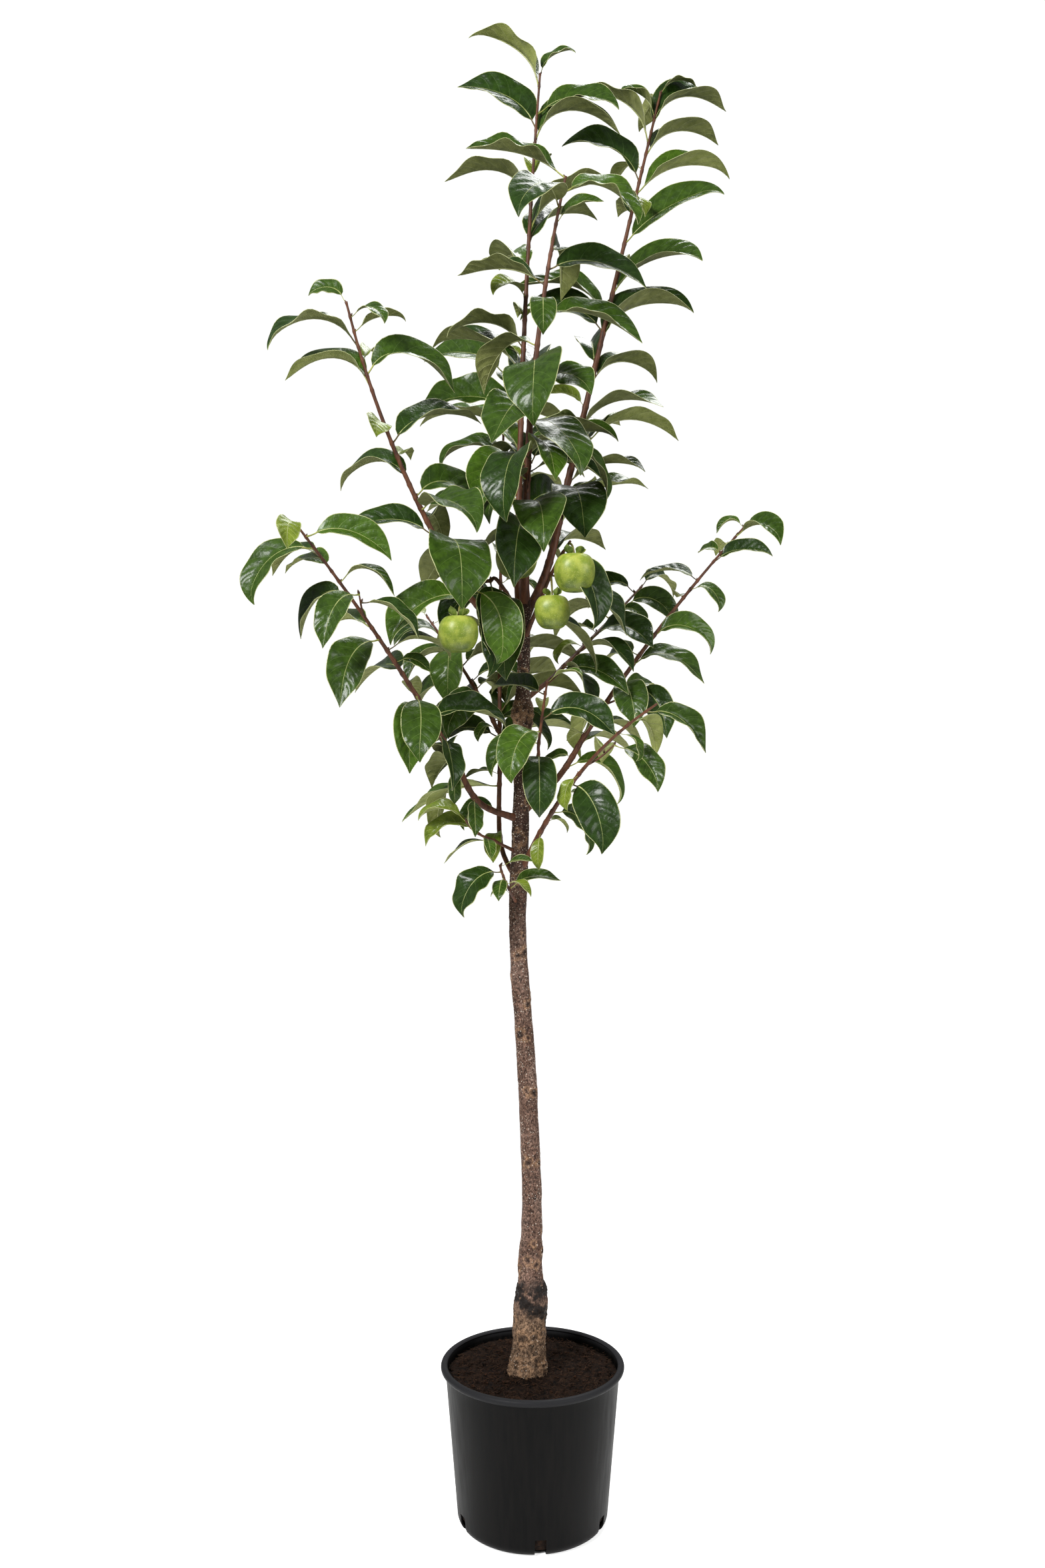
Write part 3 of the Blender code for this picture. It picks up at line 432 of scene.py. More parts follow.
def place_leaf(space, node, leaf):
    """Turn a leaf a little at a time until it has room. One that finds none is left out."""
    fewest = math.inf
    for nod in NODS:
        for turn in TURNS:
            tried = leaf._replace(heading=leaf.heading + turn, droop=leaf.droop + nod,
                                  lift=leaf.lift + nod * 0.5)
            away = tried._replace(base=tried.base + direction(tried.heading, tried.lift) * STEM_CLEAR,
                                  petiole=max(tried.petiole - STEM_CLEAR, 0.002))
            blocked, own = space.clashes(node, leaf_mesh_data(away, TEST_MARGIN))
            if not blocked and own < fewest:
                fewest, placed, room = own, tried, away
            if fewest == 0:
                break
        if fewest == 0:
            break
    if fewest == math.inf:
        return None
    space.add(node, leaf_mesh_data(room, TEST_MARGIN))
    return placed


def draw_leaf(rng, base, heading, habit, scale, share):
    """A leaf with seeded differences in its size, its turn and the way it hangs."""
    way = math.radians(heading)
    front = max(0.0, -math.sin(way))
    back = max(0.0, math.sin(way))
    length = LEAF_LENGTH * habit.size * scale * rng.uniform(*SIZE_RANGE) * (1 + FRONT_GROWTH * front)
    lift = habit.lift + rng.uniform(-LIFT_SPREAD, LIFT_SPREAD) + TIP_RISE[0] * share - FRONT_NOD * front
    droop = habit.droop + rng.uniform(-DROOP_SPREAD, DROOP_SPREAD) + TIP_RISE[1] * share
    droop = max(droop - FRONT_NOD * front + BACK_RISE * back, LOWEST_DROOP)
    turn = rng.uniform(-TURN_SPREAD, TURN_SPREAD)
    width = length * LEAF_BREADTH * rng.uniform(*BREADTH_RANGE)
    fold = rng.uniform(*FOLD_RANGE) * (1 - FRONT_SPREAD * front)
    roll = LIGHT_ROLL * math.cos(way) + rng.uniform(-ROLL_SPREAD, ROLL_SPREAD)
    sweep = rng.uniform(-SWEEP_SPREAD, SWEEP_SPREAD)
    petiole = PETIOLE * rng.uniform(*PETIOLE_RANGE) * (0.5 + 0.5 * scale)
    return Leaf(base, heading + turn, lift, droop, length, width, fold, roll, sweep, petiole)


def clear_of_stem(points):
    """The same points, starting just outside the stem that carries them."""
    way = (points[1] - points[0]).normalized()
    return [points[0] + way * STEM_CLEAR] + points[1:]


def crown_of(fruit):
    """The place high on a fruit where its stalk ends and its calyx spreads."""
    return Vector(fruit.centre) + Vector((0, 0, fruit.radius * CALYX_HEIGHT))


def calyx_lobes(fruit):
    """The lobes that stand out round the top of a fruit."""
    crown = crown_of(fruit)
    lift, droop, fold = CALYX_LOBE
    length, width = CALYX_SIZE
    lobes = []
    for k in range(CALYX_LOBES):
        heading = CALYX_TURN + 360 / CALYX_LOBES * k
        lobes.append(Leaf(crown + direction(heading, 0) * CALYX_REACH, heading, lift, droop,
                          fruit.radius * length, fruit.radius * width, fold, 0, 0, 0.002))
    return lobes


def grow_stalks(shoot, path, start, space):
    """The thin twigs that carry a shoot's fruit. Each fruit keeps its room before any leaf is placed."""
    node = "foliage_" + shoot.name
    stalks = []
    first = start + FIRST_STALK
    for fruit in FRUITS:
        if fruit.shoot != shoot.name:
            continue
        begin = path.point(first + (path.length - first) * fruit.share)
        calyx = crown_of(fruit)
        middle = begin.lerp(calyx + Vector((0, 0, 0.010)), 0.6)
        stalks.append(Twig([begin, middle, calyx], STALK_GIRTH))
        space.add(node, tube_data(clear_of_stem(stalks[-1].points), lambda k: STALK_GIRTH / 2 + TEST_MARGIN))
        space.add(node, ball_data(fruit.centre, fruit.radius + FRUIT_ROOM))
        for lobe in calyx_lobes(fruit):
            space.add(node, leaf_mesh_data(lobe, TEST_MARGIN))
    return stalks


def grow_twig(rng, base):
    """A side twig from its base: outward, a little to one side and up, with a slight sag."""
    outward = math.degrees(math.atan2(base.y, base.x)) + rng.uniform(-TWIG_TURN, TWIG_TURN)
    reach = TWIG_LENGTH * rng.uniform(*TWIG_RANGE)
    end = base + direction(outward, rng.uniform(*TWIG_RISE)) * reach
    middle = base.lerp(end, 0.5) - Vector((0, 0, reach * TWIG_SAG))
    return outward, Twig([base, middle, end], TWIG_GIRTH)


def grow_mass(shoot, path, start, space):
    """Leaves and side twigs of one shoot, by its letters and its name's seed."""
    node = "foliage_" + shoot.name
    leaves = []
    twigs = []
    first = start + FIRST_LEAF
    slots = len(shoot.leaves)
    for slot, letter in enumerate(shoot.leaves):
        if letter == ".":
            continue
        rng = random.Random(shoot.name + str(slot))
        share = slot / max(slots - 1, 1)
        base = path.point(first + (path.length - 0.002 - first) * share)
        if letter != "T":
            scale = YOUNG_LEAF if letter.islower() else 1.0
            leaf = draw_leaf(rng, base, HEADINGS[letter.upper()], shoot.habit, scale, share)
            leaves.append(place_leaf(space, node, leaf))
            continue
        outward, twig = grow_twig(rng, base)
        tried = tube_data(clear_of_stem(twig.points), lambda k: TWIG_GIRTH / 2 + TEST_MARGIN)
        if space.clashes(node, tried)[0]:
            continue
        twigs.append(twig)
        space.add(node, tried)
        for share_on_twig, turn, size in TWIG_LEAVES:
            spot = base.lerp(twig.points[-1], share_on_twig)
            leaf = draw_leaf(rng, spot, outward + turn, shoot.habit, size, share)
            leaves.append(place_leaf(space, node, leaf))
    return [leaf for leaf in leaves if leaf], twigs


def limb_data(shoot, route, marks, sides):
    """The room that a limb keeps between its first mark and its last."""
    sizes = [shoot_girth(shoot, route, mark) for mark in marks]
    stations = [route.point(mark) for mark in marks]
    return tube_data(stations, lambda k: sizes[k] / 2 + TEST_MARGIN, sides)


def grow_tree():
    """Every limb's route, and the leaves, twigs and stalks of each mass, in the solids' own order."""
    middle = trunk_path()
    low = SOIL_TOP + CLEARANCE
    rise = TRUNK_TOP - low
    count = round(rise / TRUNK_STEP)
    heights = [low, low + 0.012] + [low + rise * k / count for k in range(1, count)] + [TRUNK_TOP]
    points = []
    for height in heights:
        point = trunk_centre(middle, height)
        point.z = height
        points.append(point)
    points[0].xy = points[1].xy
    points[-1].xy = points[-2].xy
    girths = [trunk_girth(point.z) for point in points]
    space = Space()
    space.add("trunk", tube_data(points, lambda k: girths[k] / 2 + TEST_MARGIN, 12))
    routes = {}
    starts = {}
    stalks = {}
    for shoot in SHOOTS:
        route = shoot_path(shoot, middle)
        end = bare_length(shoot, route)
        if end:
            marks = route.marks_between(0.0, end, STEM_STEP / 2)
            space.add(shoot.name, limb_data(shoot, route, marks, 8))
            end += CLEARANCE
        routes[shoot.name] = route
        starts[shoot.name] = end
        stalks[shoot.name] = grow_stalks(shoot, route, end, space)
        marks = route.marks_between(end, route.length, STEM_STEP)
        space.add("foliage_" + shoot.name, limb_data(shoot, route, marks, 6))
    leaves = {}
    twigs = {}
    for shoot in SHOOTS:
        grown = grow_mass(shoot, routes[shoot.name], starts[shoot.name], space)
        leaves[shoot.name] = grown[0]
        twigs[shoot.name] = stalks[shoot.name] + grown[1]
    return routes, starts, leaves, twigs


# ---------------------------------------------------------------- meshes from arrays
def grid_quads(rows, columns, closed=False):
    """Quads over a grid of points, row after row. A closed grid joins its last column to its first."""
    row = np.arange(rows - 1)[:, None] * columns
    column = np.arange(columns if closed else columns - 1)[None, :]
    after = (column + 1) % columns
    corners = (row + column, row + after, row + columns + after, row + columns + column)
    return np.stack(corners, axis=-1).reshape(-1, 4)


def flipped(quads):
    """The same quads facing the other way, still split along the same corners."""
    return quads[:, [0, 3, 2, 1]]


def put(name, data):
    """A new object in the scene, for a mesh, a lamp or a camera."""
    thing = bpy.data.objects.new(name, data)
    bpy.context.scene.collection.objects.link(thing)
    return thing


def make_piece(name, points, quads, material, **shares):
    """Put arrays of points and quads into a mesh object at the origin and let it ride on the plant.

    Each further array is a number a point, kept as an attribute that the material reads.
    """
    points = np.ascontiguousarray(points, dtype=np.float32).reshape(-1, 3)
    quads = np.ascontiguousarray(quads, dtype=np.int32)
    mesh = bpy.data.meshes.new(name)
    mesh.vertices.add(len(points))
    mesh.vertices.foreach_set("co", points.ravel())
    mesh.loops.add(quads.size)
    mesh.loops.foreach_set("vertex_index", quads.ravel())
    mesh.polygons.add(len(quads))
    mesh.polygons.foreach_set("loop_start", np.arange(len(quads), dtype=np.int32) * quads.shape[1])
    mesh.update(calc_edges=True)
    mesh.validate()
    mesh.shade_smooth()
    for key, values in shares.items():
        layer = mesh.attributes.new(key, "FLOAT", "POINT")
        layer.data.foreach_set("value", np.ascontiguousarray(values, dtype=np.float32).ravel())
    mesh.materials.append(material)
    piece = put(name, mesh)
    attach(piece, "root")
    return piece


def many_grids(rows, columns, count, closed=True):
    """Quads of many like grids, each one's points straight after those of the one before."""
    starts = np.arange(count)[:, None, None] * rows * columns
    return (grid_quads(rows, columns, closed)[None] + starts).reshape(-1, 4)


def join_grids(parts):
    """Stack (points, quads) pairs into one pair."""
    points = []
    quads = []
    offset = 0
    for part_points, part_quads in parts:
        points.append(np.asarray(part_points, dtype=float).reshape(-1, 3))
        quads.append(part_quads + offset)
        offset += len(points[-1])
    return np.concatenate(points), np.concatenate(quads)


LATTICE = np.random.default_rng(71).random((32, 32, 32))


def value_noise(points):
    """Smooth noise from 0 to 1: random lattice values, blended along each axis by 3t^2 - 2t^3."""
    cell = np.floor(points).astype(int)
    part = points - cell
    part = part * part * (3 - 2 * part)
    total = 0.0
    for corner in range(8):
        step = np.array([corner & 1, corner >> 1 & 1, corner >> 2 & 1])
        index = (cell + step) % 32
        weight = np.prod(np.where(step == 1, part, 1 - part), axis=-1)
        total = total + LATTICE[index[..., 0], index[..., 1], index[..., 2]] * weight
    return total


def rough_noise(points, octaves=3):
    """Noise about 0, each octave twice as fine and half as strong as the one before."""
    total = 0.0
    for octave in range(octaves):
        total = total + (value_noise(points * 2 ** octave + 11.7 * octave) - 0.5) / 2 ** octave
    return total


def round_turn(sides):
    """The angles of that many even steps round a circle."""
    return np.arange(sides) * math.tau / sides


def round_points(radius, turn, height):
    """Points at a radius, an angle and a height, each a number or an array that fits the others."""
    return np.stack(np.broadcast_arrays(radius * np.cos(turn), radius * np.sin(turn), height), axis=-1)


def bell(distance, width):
    """exp(-(distance / width)^2): one at no distance, and next to nothing past two widths."""
    return np.exp(-(distance / width) ** 2)


def unit(vectors):
    """The vectors at a length of one."""
    return vectors / np.maximum(np.linalg.norm(vectors, axis=-1, keepdims=True), 1e-12)


def ring_grid(centres, radii, sides):
    """A tube: at each centre, a ring of points square to the route, at the given radii.

    radii is one number a ring, or one a point. Across is the route's way crossed with +Y.
    """
    way = unit(np.gradient(centres, axis=-2))
    across = unit(np.cross(way, np.array([0.0, 1.0, 0.0])))
    other = np.cross(way, across)
    turn = round_turn(sides)[:, None]
    spread = across[..., None, :] * np.cos(turn) + other[..., None, :] * np.sin(turn)
    radii = np.asarray(radii)
    if radii.ndim == centres.ndim - 1:
        radii = radii[..., None]
    return centres[..., None, :] + spread * radii[..., None]


# ---------------------------------------------------------------- leaf blades, all at once
BLADE_ROWS = 33          # four rows from vein to vein
BLADE_COLUMNS = 11
MIDDLE = BLADE_COLUMNS // 2
BLADE_THICKNESS = 0.45 * MM


class Blades:
    """The middle lines of many leaves, and the upper face over them as a function of (s, v).

    v runs from -1 to 1 across. s runs from the petiole to the tip along the midrib, and off it the place
    t = s + lean |v| (1 + 0.3 |v|) sin(pi s) runs forward as the lateral veins do. The middle line is the sum
    of short steps whose elevation turns evenly from the lift to the droop, and turns on to a hooked tip.
    """

    STEPS = 96
    VEINS = 8              # the blade's length is split among one fewer lateral veins to a side
    LEAN = 0.17            # how far a vein runs forward on its way to the margin

    def __init__(self, leaves, seed):
        rng = np.random.default_rng(seed)
        count = len(leaves)
        self.count = count
        self.base = np.array([leaf.base[:] for leaf in leaves])
        for field in Leaf._fields[1:]:
            setattr(self, field, np.array([getattr(leaf, field) for leaf in leaves], dtype=float)[:, None])
        self.stoutness = np.minimum(self.length / 0.125, 1.1)
        self.wave = rng.uniform(0.010, 0.040, (count, 1))
        self.waves = rng.uniform(1.2, 2.8, (count, 1))
        self.phase = rng.uniform(0, 1, (count, 2))
        self.hook = rng.uniform(-14, 58, (count, 1))
        middle = (np.arange(self.STEPS) + 0.5)[None, :] / self.STEPS
        steps = self.way(middle) * (self.length / self.STEPS)[..., None]
        start = self.base + self.way(np.zeros((count, 1)))[:, 0] * self.petiole
        self.line = np.concatenate([start[:, None], start[:, None] + np.cumsum(steps, axis=1)], axis=1)
        s = np.linspace(0.0, 1.0, BLADE_ROWS)
        v = np.sin(np.linspace(-1.35, 1.35, BLADE_COLUMNS)) / math.sin(1.35)
        face = self.surface(np.repeat(s, BLADE_COLUMNS)[None, :], np.tile(v, BLADE_ROWS)[None, :])
        self.face = face.reshape(count, BLADE_ROWS, BLADE_COLUMNS, 3)
        self.out = unit(np.cross(np.gradient(self.face, axis=1), np.gradient(self.face, axis=2)))

    def angles(self, t):
        """The heading and the elevation of the middle line at each t, in radians."""
        heading = np.radians(self.heading + self.sweep * t)
        bend = 1 - (1 - np.clip(t, 0, 1)) ** LEAF_BEND
        hook = self.hook * np.clip((t - 0.74) / 0.26, 0, 1) ** 1.5
        elevation = np.radians(self.lift + (self.droop - self.lift) * bend - hook)
        return heading, elevation

    def way(self, t):
        """The unit way of the middle line at each t."""
        heading, elevation = self.angles(t)
        level = np.cos(elevation)
        return np.stack([level * np.cos(heading), level * np.sin(heading), np.sin(elevation)], axis=-1)

    def frames(self, t):
        """Middle points and the ways across and up at each t."""
        place = np.clip(t, 0, 1) * self.STEPS
        low = np.minimum(place.astype(int), self.STEPS - 1)
        part = (place - low)[..., None]
        row = np.arange(self.count)[:, None]
        middle = self.line[row, low] * (1 - part) + self.line[row, low + 1] * part
        heading, elevation = self.angles(t)
        zero = np.zeros_like(heading)
        across = np.stack([-np.sin(heading), np.cos(heading), zero], axis=-1)
        up = np.stack([-np.sin(elevation) * np.cos(heading), -np.sin(elevation) * np.sin(heading),
                       np.cos(elevation)], axis=-1)
        roll = np.radians(self.roll)[..., None]
        return middle, across * np.cos(roll) + up * np.sin(roll), up * np.cos(roll) - across * np.sin(roll)

    def half(self, t):
        """Half breadth: t^0.68 (1 - t)^0.78 over its greatest value, pinched over the last fifth."""
        t = np.clip(t, 0.0, 1.0)
        pinch = 1 - 0.52 * np.clip((t - 0.72) / 0.24, 0, 1) ** 1.5
        return np.maximum(self.width / 2 * t ** 0.68 * (1 - t) ** 0.78 / 0.3635 * pinch, 0.0003)

    def surface(self, s, v):
        """The face: folded up from its midrib, sunk along its veins, and waved along its margins."""
        s = np.broadcast_to(s, (self.count, s.shape[-1]))
        v = np.broadcast_to(v, (self.count, v.shape[-1]))
        reach = np.abs(v)
        t = s + self.LEAN * reach * (1 + 0.3 * reach) * np.sin(math.pi * s)
        middle, across, up = self.frames(t)
        half = self.half(t)
        fold = np.radians(self.fold)
        rise = half * np.sin(fold) * reach * (1 - 0.24 * reach) * np.minimum(1.0, t * 6)
        pillow = -np.cos(math.tau * s * self.VEINS) * reach * (1 - reach) * 4 * np.sin(math.pi * s) ** 0.7
        ripple = np.where(v < 0, self.phase[:, :1], self.phase[:, 1:])
        wave = self.length * self.wave * reach ** 3 * np.sin(math.tau * (self.waves * t + ripple))
        height = rise + 0.032 * half * pillow + wave * np.sin(math.pi * np.clip(t, 0, 1))
        flat = half * v * np.cos(fold)
        return middle + across * flat[..., None] + up * height[..., None]


def toward(start, end, distance):
    """The point at a distance from start on the way to end, and never past nine tenths of it."""
    away = end - start
    length = np.maximum(np.linalg.norm(away, axis=-1, keepdims=True), 1e-9)
    return start + away * np.minimum(np.asarray(distance)[..., None] / length, 0.9)


def upper_faces(blades):
    """The blades' upper faces, as points and quads."""
    return blades.face, flipped(many_grids(BLADE_ROWS, BLADE_COLUMNS, blades.count, closed=False))


def lower_faces(blades):
    """The lower faces: the upper ones moved in by the blade's thickness and turned round."""
    points, quads = upper_faces(blades)
    return points - blades.out * BLADE_THICKNESS, flipped(quads)


def margins(blades, breadth=1.3 * MM):
    """A thin rim that closes the blade: it laps the upper face, rounds the edge and laps the lower face."""
    parts = []
    for edge, inner in ((0, 1), (-1, -2)):
        side = blades.face[:, :, edge]
        out = blades.out[:, :, edge]
        lap = toward(side, blades.face[:, :, inner], breadth)
        beyond = side + unit(side - lap) * 0.15 * MM - out * BLADE_THICKNESS / 2
        rows = [lap + out * 0.10 * MM, side + out * 0.10 * MM, beyond,
                side - out * (BLADE_THICKNESS + 0.06 * MM)]
        quads = many_grids(BLADE_ROWS, len(rows), blades.count, closed=False)
        parts.append((np.stack(rows, axis=2), quads if edge == 0 else flipped(quads)))
    return join_grids(parts)


def midribs(blades):
    """The pale midrib: a low ridge along the upper face's middle that thins to the tip."""
    s = np.linspace(0.0, 1.0, BLADE_ROWS)[None, :]
    breadth = 1.15 * MM * (1 - s) + 0.16 * MM
    out = blades.out[:, :, MIDDLE]
    centre = blades.face[:, :, MIDDLE]
    ridge = [toward(centre, blades.face[:, :, MIDDLE - 1], breadth) + out * 0.06 * MM,
             centre + out * 0.40 * MM,
             toward(centre, blades.face[:, :, MIDDLE + 1], breadth) + out * 0.06 * MM]
    return np.stack(ridge, axis=2), flipped(many_grids(BLADE_ROWS, 3, blades.count, closed=False))


def lateral_veins(blades, breadth, height, below=False):
    """Lateral veins as low ridges on every fourth row, from the midrib out, on the face's own chords."""
    spacing = (BLADE_ROWS - 1) // blades.VEINS
    quads = many_grids(MIDDLE, 3, blades.count, closed=False)
    taper = breadth * (1 - 0.6 * np.arange(MIDDLE) / MIDDLE)[None, :]
    parts = []
    for side in (-1, 1):
        columns = [MIDDLE + side * k for k in range(MIDDLE)]
        for row in range(spacing, BLADE_ROWS - 1, spacing):
            centre = blades.face[:, row, columns]
            out = blades.out[:, row, columns] * (-1 if below else 1)
            before, after = [toward(centre, blades.face[:, row + k, columns], taper) + out * 0.04 * MM
                             for k in (-1, 1)]
            ridge = np.stack([before, centre + out * height, after], axis=2)
            ridge = ridge + out[:, :, None] * (BLADE_THICKNESS if below else 0)
            parts.append((ridge, quads if (side > 0) != below else flipped(quads)))
    return join_grids(parts)


def petioles(blades):
    """The fleshy stalk from the shoot to the blade: widest at its foot, and bowed down by its length."""
    rise = np.linspace(0.0, 1.0, 7)[None, :, None]
    start = blades.line[:, 3:4]
    bow = np.sin(math.pi * rise) * np.array([0.0, 0.0, -1.0]) * 1.2 * MM
    centres = blades.base[:, None] + (start - blades.base[:, None]) * rise + bow
    radii = np.array([2.2, 1.55, 1.20, 1.12, 1.12, 1.15, 0.9]) * MM * blades.stoutness
    return ring_grid(centres, radii, 7), many_grids(7, 7, blades.count)


def under_ribs(blades):
    """The midrib's round back under the blade, thinning to the tip."""
    rows = 15
    t = np.broadcast_to(np.linspace(0.0, 0.95, rows), (blades.count, rows))
    middle, _, up = blades.frames(t)
    radii = (1.10 * (1 - t) + 0.16) * MM * blades.stoutness
    centres = middle - up * (BLADE_THICKNESS + 0.15 * MM)
    return ring_grid(centres, radii, 6), many_grids(rows, 6, blades.count)


# ---------------------------------------------------------------- finishes
YOUNG_BARK = (0.88, 1.12)      # heights over which the trunk's bark turns darker and younger
CORKY_BARK = (0.325, 0.365)    # heights over which the rootstock's cork gives way to the tree's own bark


def hex_colour(text):
    """An sRGB hex value as linear colour: c / 12.92 when dark, else ((c + 0.055) / 1.055) ^ 2.4."""
    values = [int(text[k:k + 2], 16) / 255 for k in (1, 3, 5)]
    return tuple(c / 12.92 if c <= 0.04045 else ((c + 0.055) / 1.055) ** 2.4 for c in values) + (1.0,)


def add_node(tree, kind, values=(), links=(), **settings):
    """Add a node with its settings, its input values and its links."""
    node = tree.nodes.new(kind)
    for key, value in settings.items():
        setattr(node, key, value)
    for socket, value in values:
        node.inputs[socket].default_value = value
    for socket, source in links:
        tree.links.new(source, node.inputs[socket])
    return node


def new_finish(name, roughness, specular=0.5, **sockets):
    """A material with its Principled shader's even values set on the sockets themselves."""
    material = bpy.data.materials.new(name)
    material.use_nodes = True
    tree = material.node_tree
    shader = tree.nodes["Principled BSDF"]
    shader.inputs["Roughness"].default_value = roughness
    shader.inputs["Specular IOR Level"].default_value = specular
    for key, value in sockets.items():
        shader.inputs[key.replace("_", " ").title()].default_value = value
    return material, tree, add_node(tree, "ShaderNodeTexCoord").outputs["Object"]


def dress(material, colour, height=None, strength=0.5, depth=0.5 * MM, roughness=None):
    """Link a finish's colour, and where they are given its relief and its uneven roughness."""
    tree = material.node_tree
    shader = tree.nodes["Principled BSDF"]
    tree.links.new(colour, shader.inputs["Base Color"])
    if height is not None:
        bump = add_node(tree, "ShaderNodeBump", [("Strength", strength), ("Distance", depth)],
                        [("Height", height)])
        tree.links.new(bump.outputs["Normal"], shader.inputs["Normal"])
    if roughness is not None:
        tree.links.new(roughness, shader.inputs["Roughness"])
    return material


def ramp(tree, value, first, last, low=0.0, high=1.0):
    """Carry a value's run from first to last over to a run from low to high, and hold it there."""
    return add_node(tree, "ShaderNodeMapRange", [("From Min", first), ("From Max", last), ("To Min", low),
                                                 ("To Max", high)], [("Value", value)]).outputs["Result"]


def blend(tree, share, first, second, how="MIX"):
    """The first colour blended into the second by a share. A colour is a socket or a hex value."""
    node = add_node(tree, "ShaderNodeMix", data_type="RGBA", blend_type=how)
    for socket, value in ((0, share), (6, first), (7, second)):
        if isinstance(value, bpy.types.NodeSocket):
            tree.links.new(value, node.inputs[socket])
        else:
            node.inputs[socket].default_value = hex_colour(value) if isinstance(value, str) else value
    return node.outputs[2]


def grain(tree, place, size, detail=4.0, stretch=(1, 1, 1)):
    """Noise of a grain size, its grains longer along an axis where the stretch is under one."""
    mapped = add_node(tree, "ShaderNodeMapping", [("Scale", stretch)], [("Vector", place)]).outputs[0]
    return add_node(tree, "ShaderNodeTexNoise", [("Scale", 1 / size), ("Detail", detail),
                                                 ("Roughness", 0.6)], [("Vector", mapped)]).outputs["Fac"]


def mottle(tree, noise, dark, light, low=0.35, high=0.65):
    """A noise that deals between two colours, all dark under low and all light over high."""
    return blend(tree, ramp(tree, noise, low, high), dark, light)


def cells(tree, place, size, feature="F1", **values):
    """Distances in a pattern of cells (Voronoi) of a size."""
    return add_node(tree, "ShaderNodeTexVoronoi", [("Scale", 1 / size), *values.items()],
                    [("Vector", place)], feature=feature).outputs["Distance"]


def combined(tree, operation, first, second):
    """Two values added, or the second taken from the first."""
    return add_node(tree, "ShaderNodeMath", (), [(0, first), (1, second)], operation=operation).outputs[0]


def upright(tree, place):
    """The height of each place."""
    return add_node(tree, "ShaderNodeSeparateXYZ", (), [("Vector", place)]).outputs["Z"]


def attribute(tree, key):
    """A number that the mesh keeps for each point."""
    return add_node(tree, "ShaderNodeAttribute", attribute_name=key).outputs["Fac"]


def waxy_leaf(name, dark, light, roughness):
    """Cuticle of a persimmon leaf: waxy green skin, quilted between its finer veins, so its gloss breaks."""
    material, tree, place = new_finish(name, roughness, 0.18, Coat_weight=0.20, Coat_roughness=0.14)
    colour = mottle(tree, grain(tree, place, 11 * MM, 5.0), dark, light, 0.30, 0.72)
    pillows = cells(tree, place, 5.5 * MM, "SMOOTH_F1", Smoothness=0.6)
    quilt = combined(tree, "SUBTRACT", grain(tree, place, 4.5 * MM, 2.0), pillows)
    return dress(material, colour, quilt, 0.55, 1.0 * MM)


def downy_leaf(name, dark, light):
    """Underside of the leaf: pale and matt from fine hairs, over a net of small raised veins."""
    material, tree, place = new_finish(name, 0.70, 0.3, Sheen_weight=0.15)
    colour = mottle(tree, grain(tree, place, 14 * MM), dark, light, 0.30, 0.70)
    net = ramp(tree, cells(tree, place, 3.4 * MM, "DISTANCE_TO_EDGE"), 0.0, 0.16, 1.0, 0.0)
    return dress(material, colour, net, 0.55, 0.35 * MM)


def plain_skin(name, dark, light, roughness=0.5):
    """Stalks, ribs, rims, pores and bud scales: smooth skin, mottled between two close tones."""
    material, tree, place = new_finish(name, roughness)
    return dress(material, mottle(tree, grain(tree, place, 12 * MM), dark, light))


def shoot_bark_finish():
    """Bark of this year's and last year's shoots: thin, red-brown, with fine lengthwise wrinkles."""
    material, tree, place = new_finish("young_red_brown_bark", 0.55, 0.4)
    wrinkles = grain(tree, place, 7 * MM, stretch=(1, 1, 0.25))
    return dress(material, mottle(tree, wrinkles, "#3f2417", "#7b4c33", 0.32, 0.68), wrinkles, 0.6, 0.5 * MM)


def trunk_bark_finish():
    """Bark of a young trunk: grey-brown and sandy, darker among the boughs and corky below the graft.

    It has fine curled flakes all over, pale rings round its knots, partly callus and partly painted
    highlight, near black scars, and a tarry, glossier graft.
    """
    material, tree, place = new_finish("grey_brown_trunk_bark", 0.82, 0.25)
    height = upright(tree, place)
    sandy = mottle(tree, grain(tree, place, 2.6 * MM, stretch=(1, 1, 0.7)), "#3f2f27", "#9c7f70", 0.36, 0.66)
    patches = mottle(tree, grain(tree, place, 30 * MM, stretch=(1, 1, 0.5)), "#c6b8b0", "#ffffff")
    sandy = blend(tree, 1.0, sandy, patches, "MULTIPLY")
    sandy = blend(tree, ramp(tree, height, *YOUNG_BARK, 0.0, 0.75), sandy, "#38261f")
    crust = grain(tree, place, 4.2 * MM, 7.0, (1, 1, 0.75))
    corky = mottle(tree, crust, "#2a1d15", "#997c63", 0.34, 0.62)
    colour = blend(tree, ramp(tree, height, *CORKY_BARK), corky, sandy)
    # The pale share holds the rings round the knots, partly callus and partly painted highlight.
    for key, hue in (("pale", "#b58e6c"), ("scar", "#1a100b"), ("graft", "#120e0c")):
        share = attribute(tree, key)
        colour = blend(tree, share, colour, hue)
    curls = add_node(tree, "ShaderNodeTexNoise", [("Scale", 1 / (2.8 * MM)), ("Detail", 3.0),
                                                  ("Distortion", 1.4)], [("Vector", place)]).outputs["Fac"]
    colour = blend(tree, 1.0, colour, ramp(tree, curls, 0.38, 0.64, 0.48, 1.75), "MULTIPLY")
    return dress(material, colour, combined(tree, "ADD", crust, curls), 1.0, 1.1 * MM,
                 ramp(tree, share, 0.0, 1.0, 0.82, 0.42))


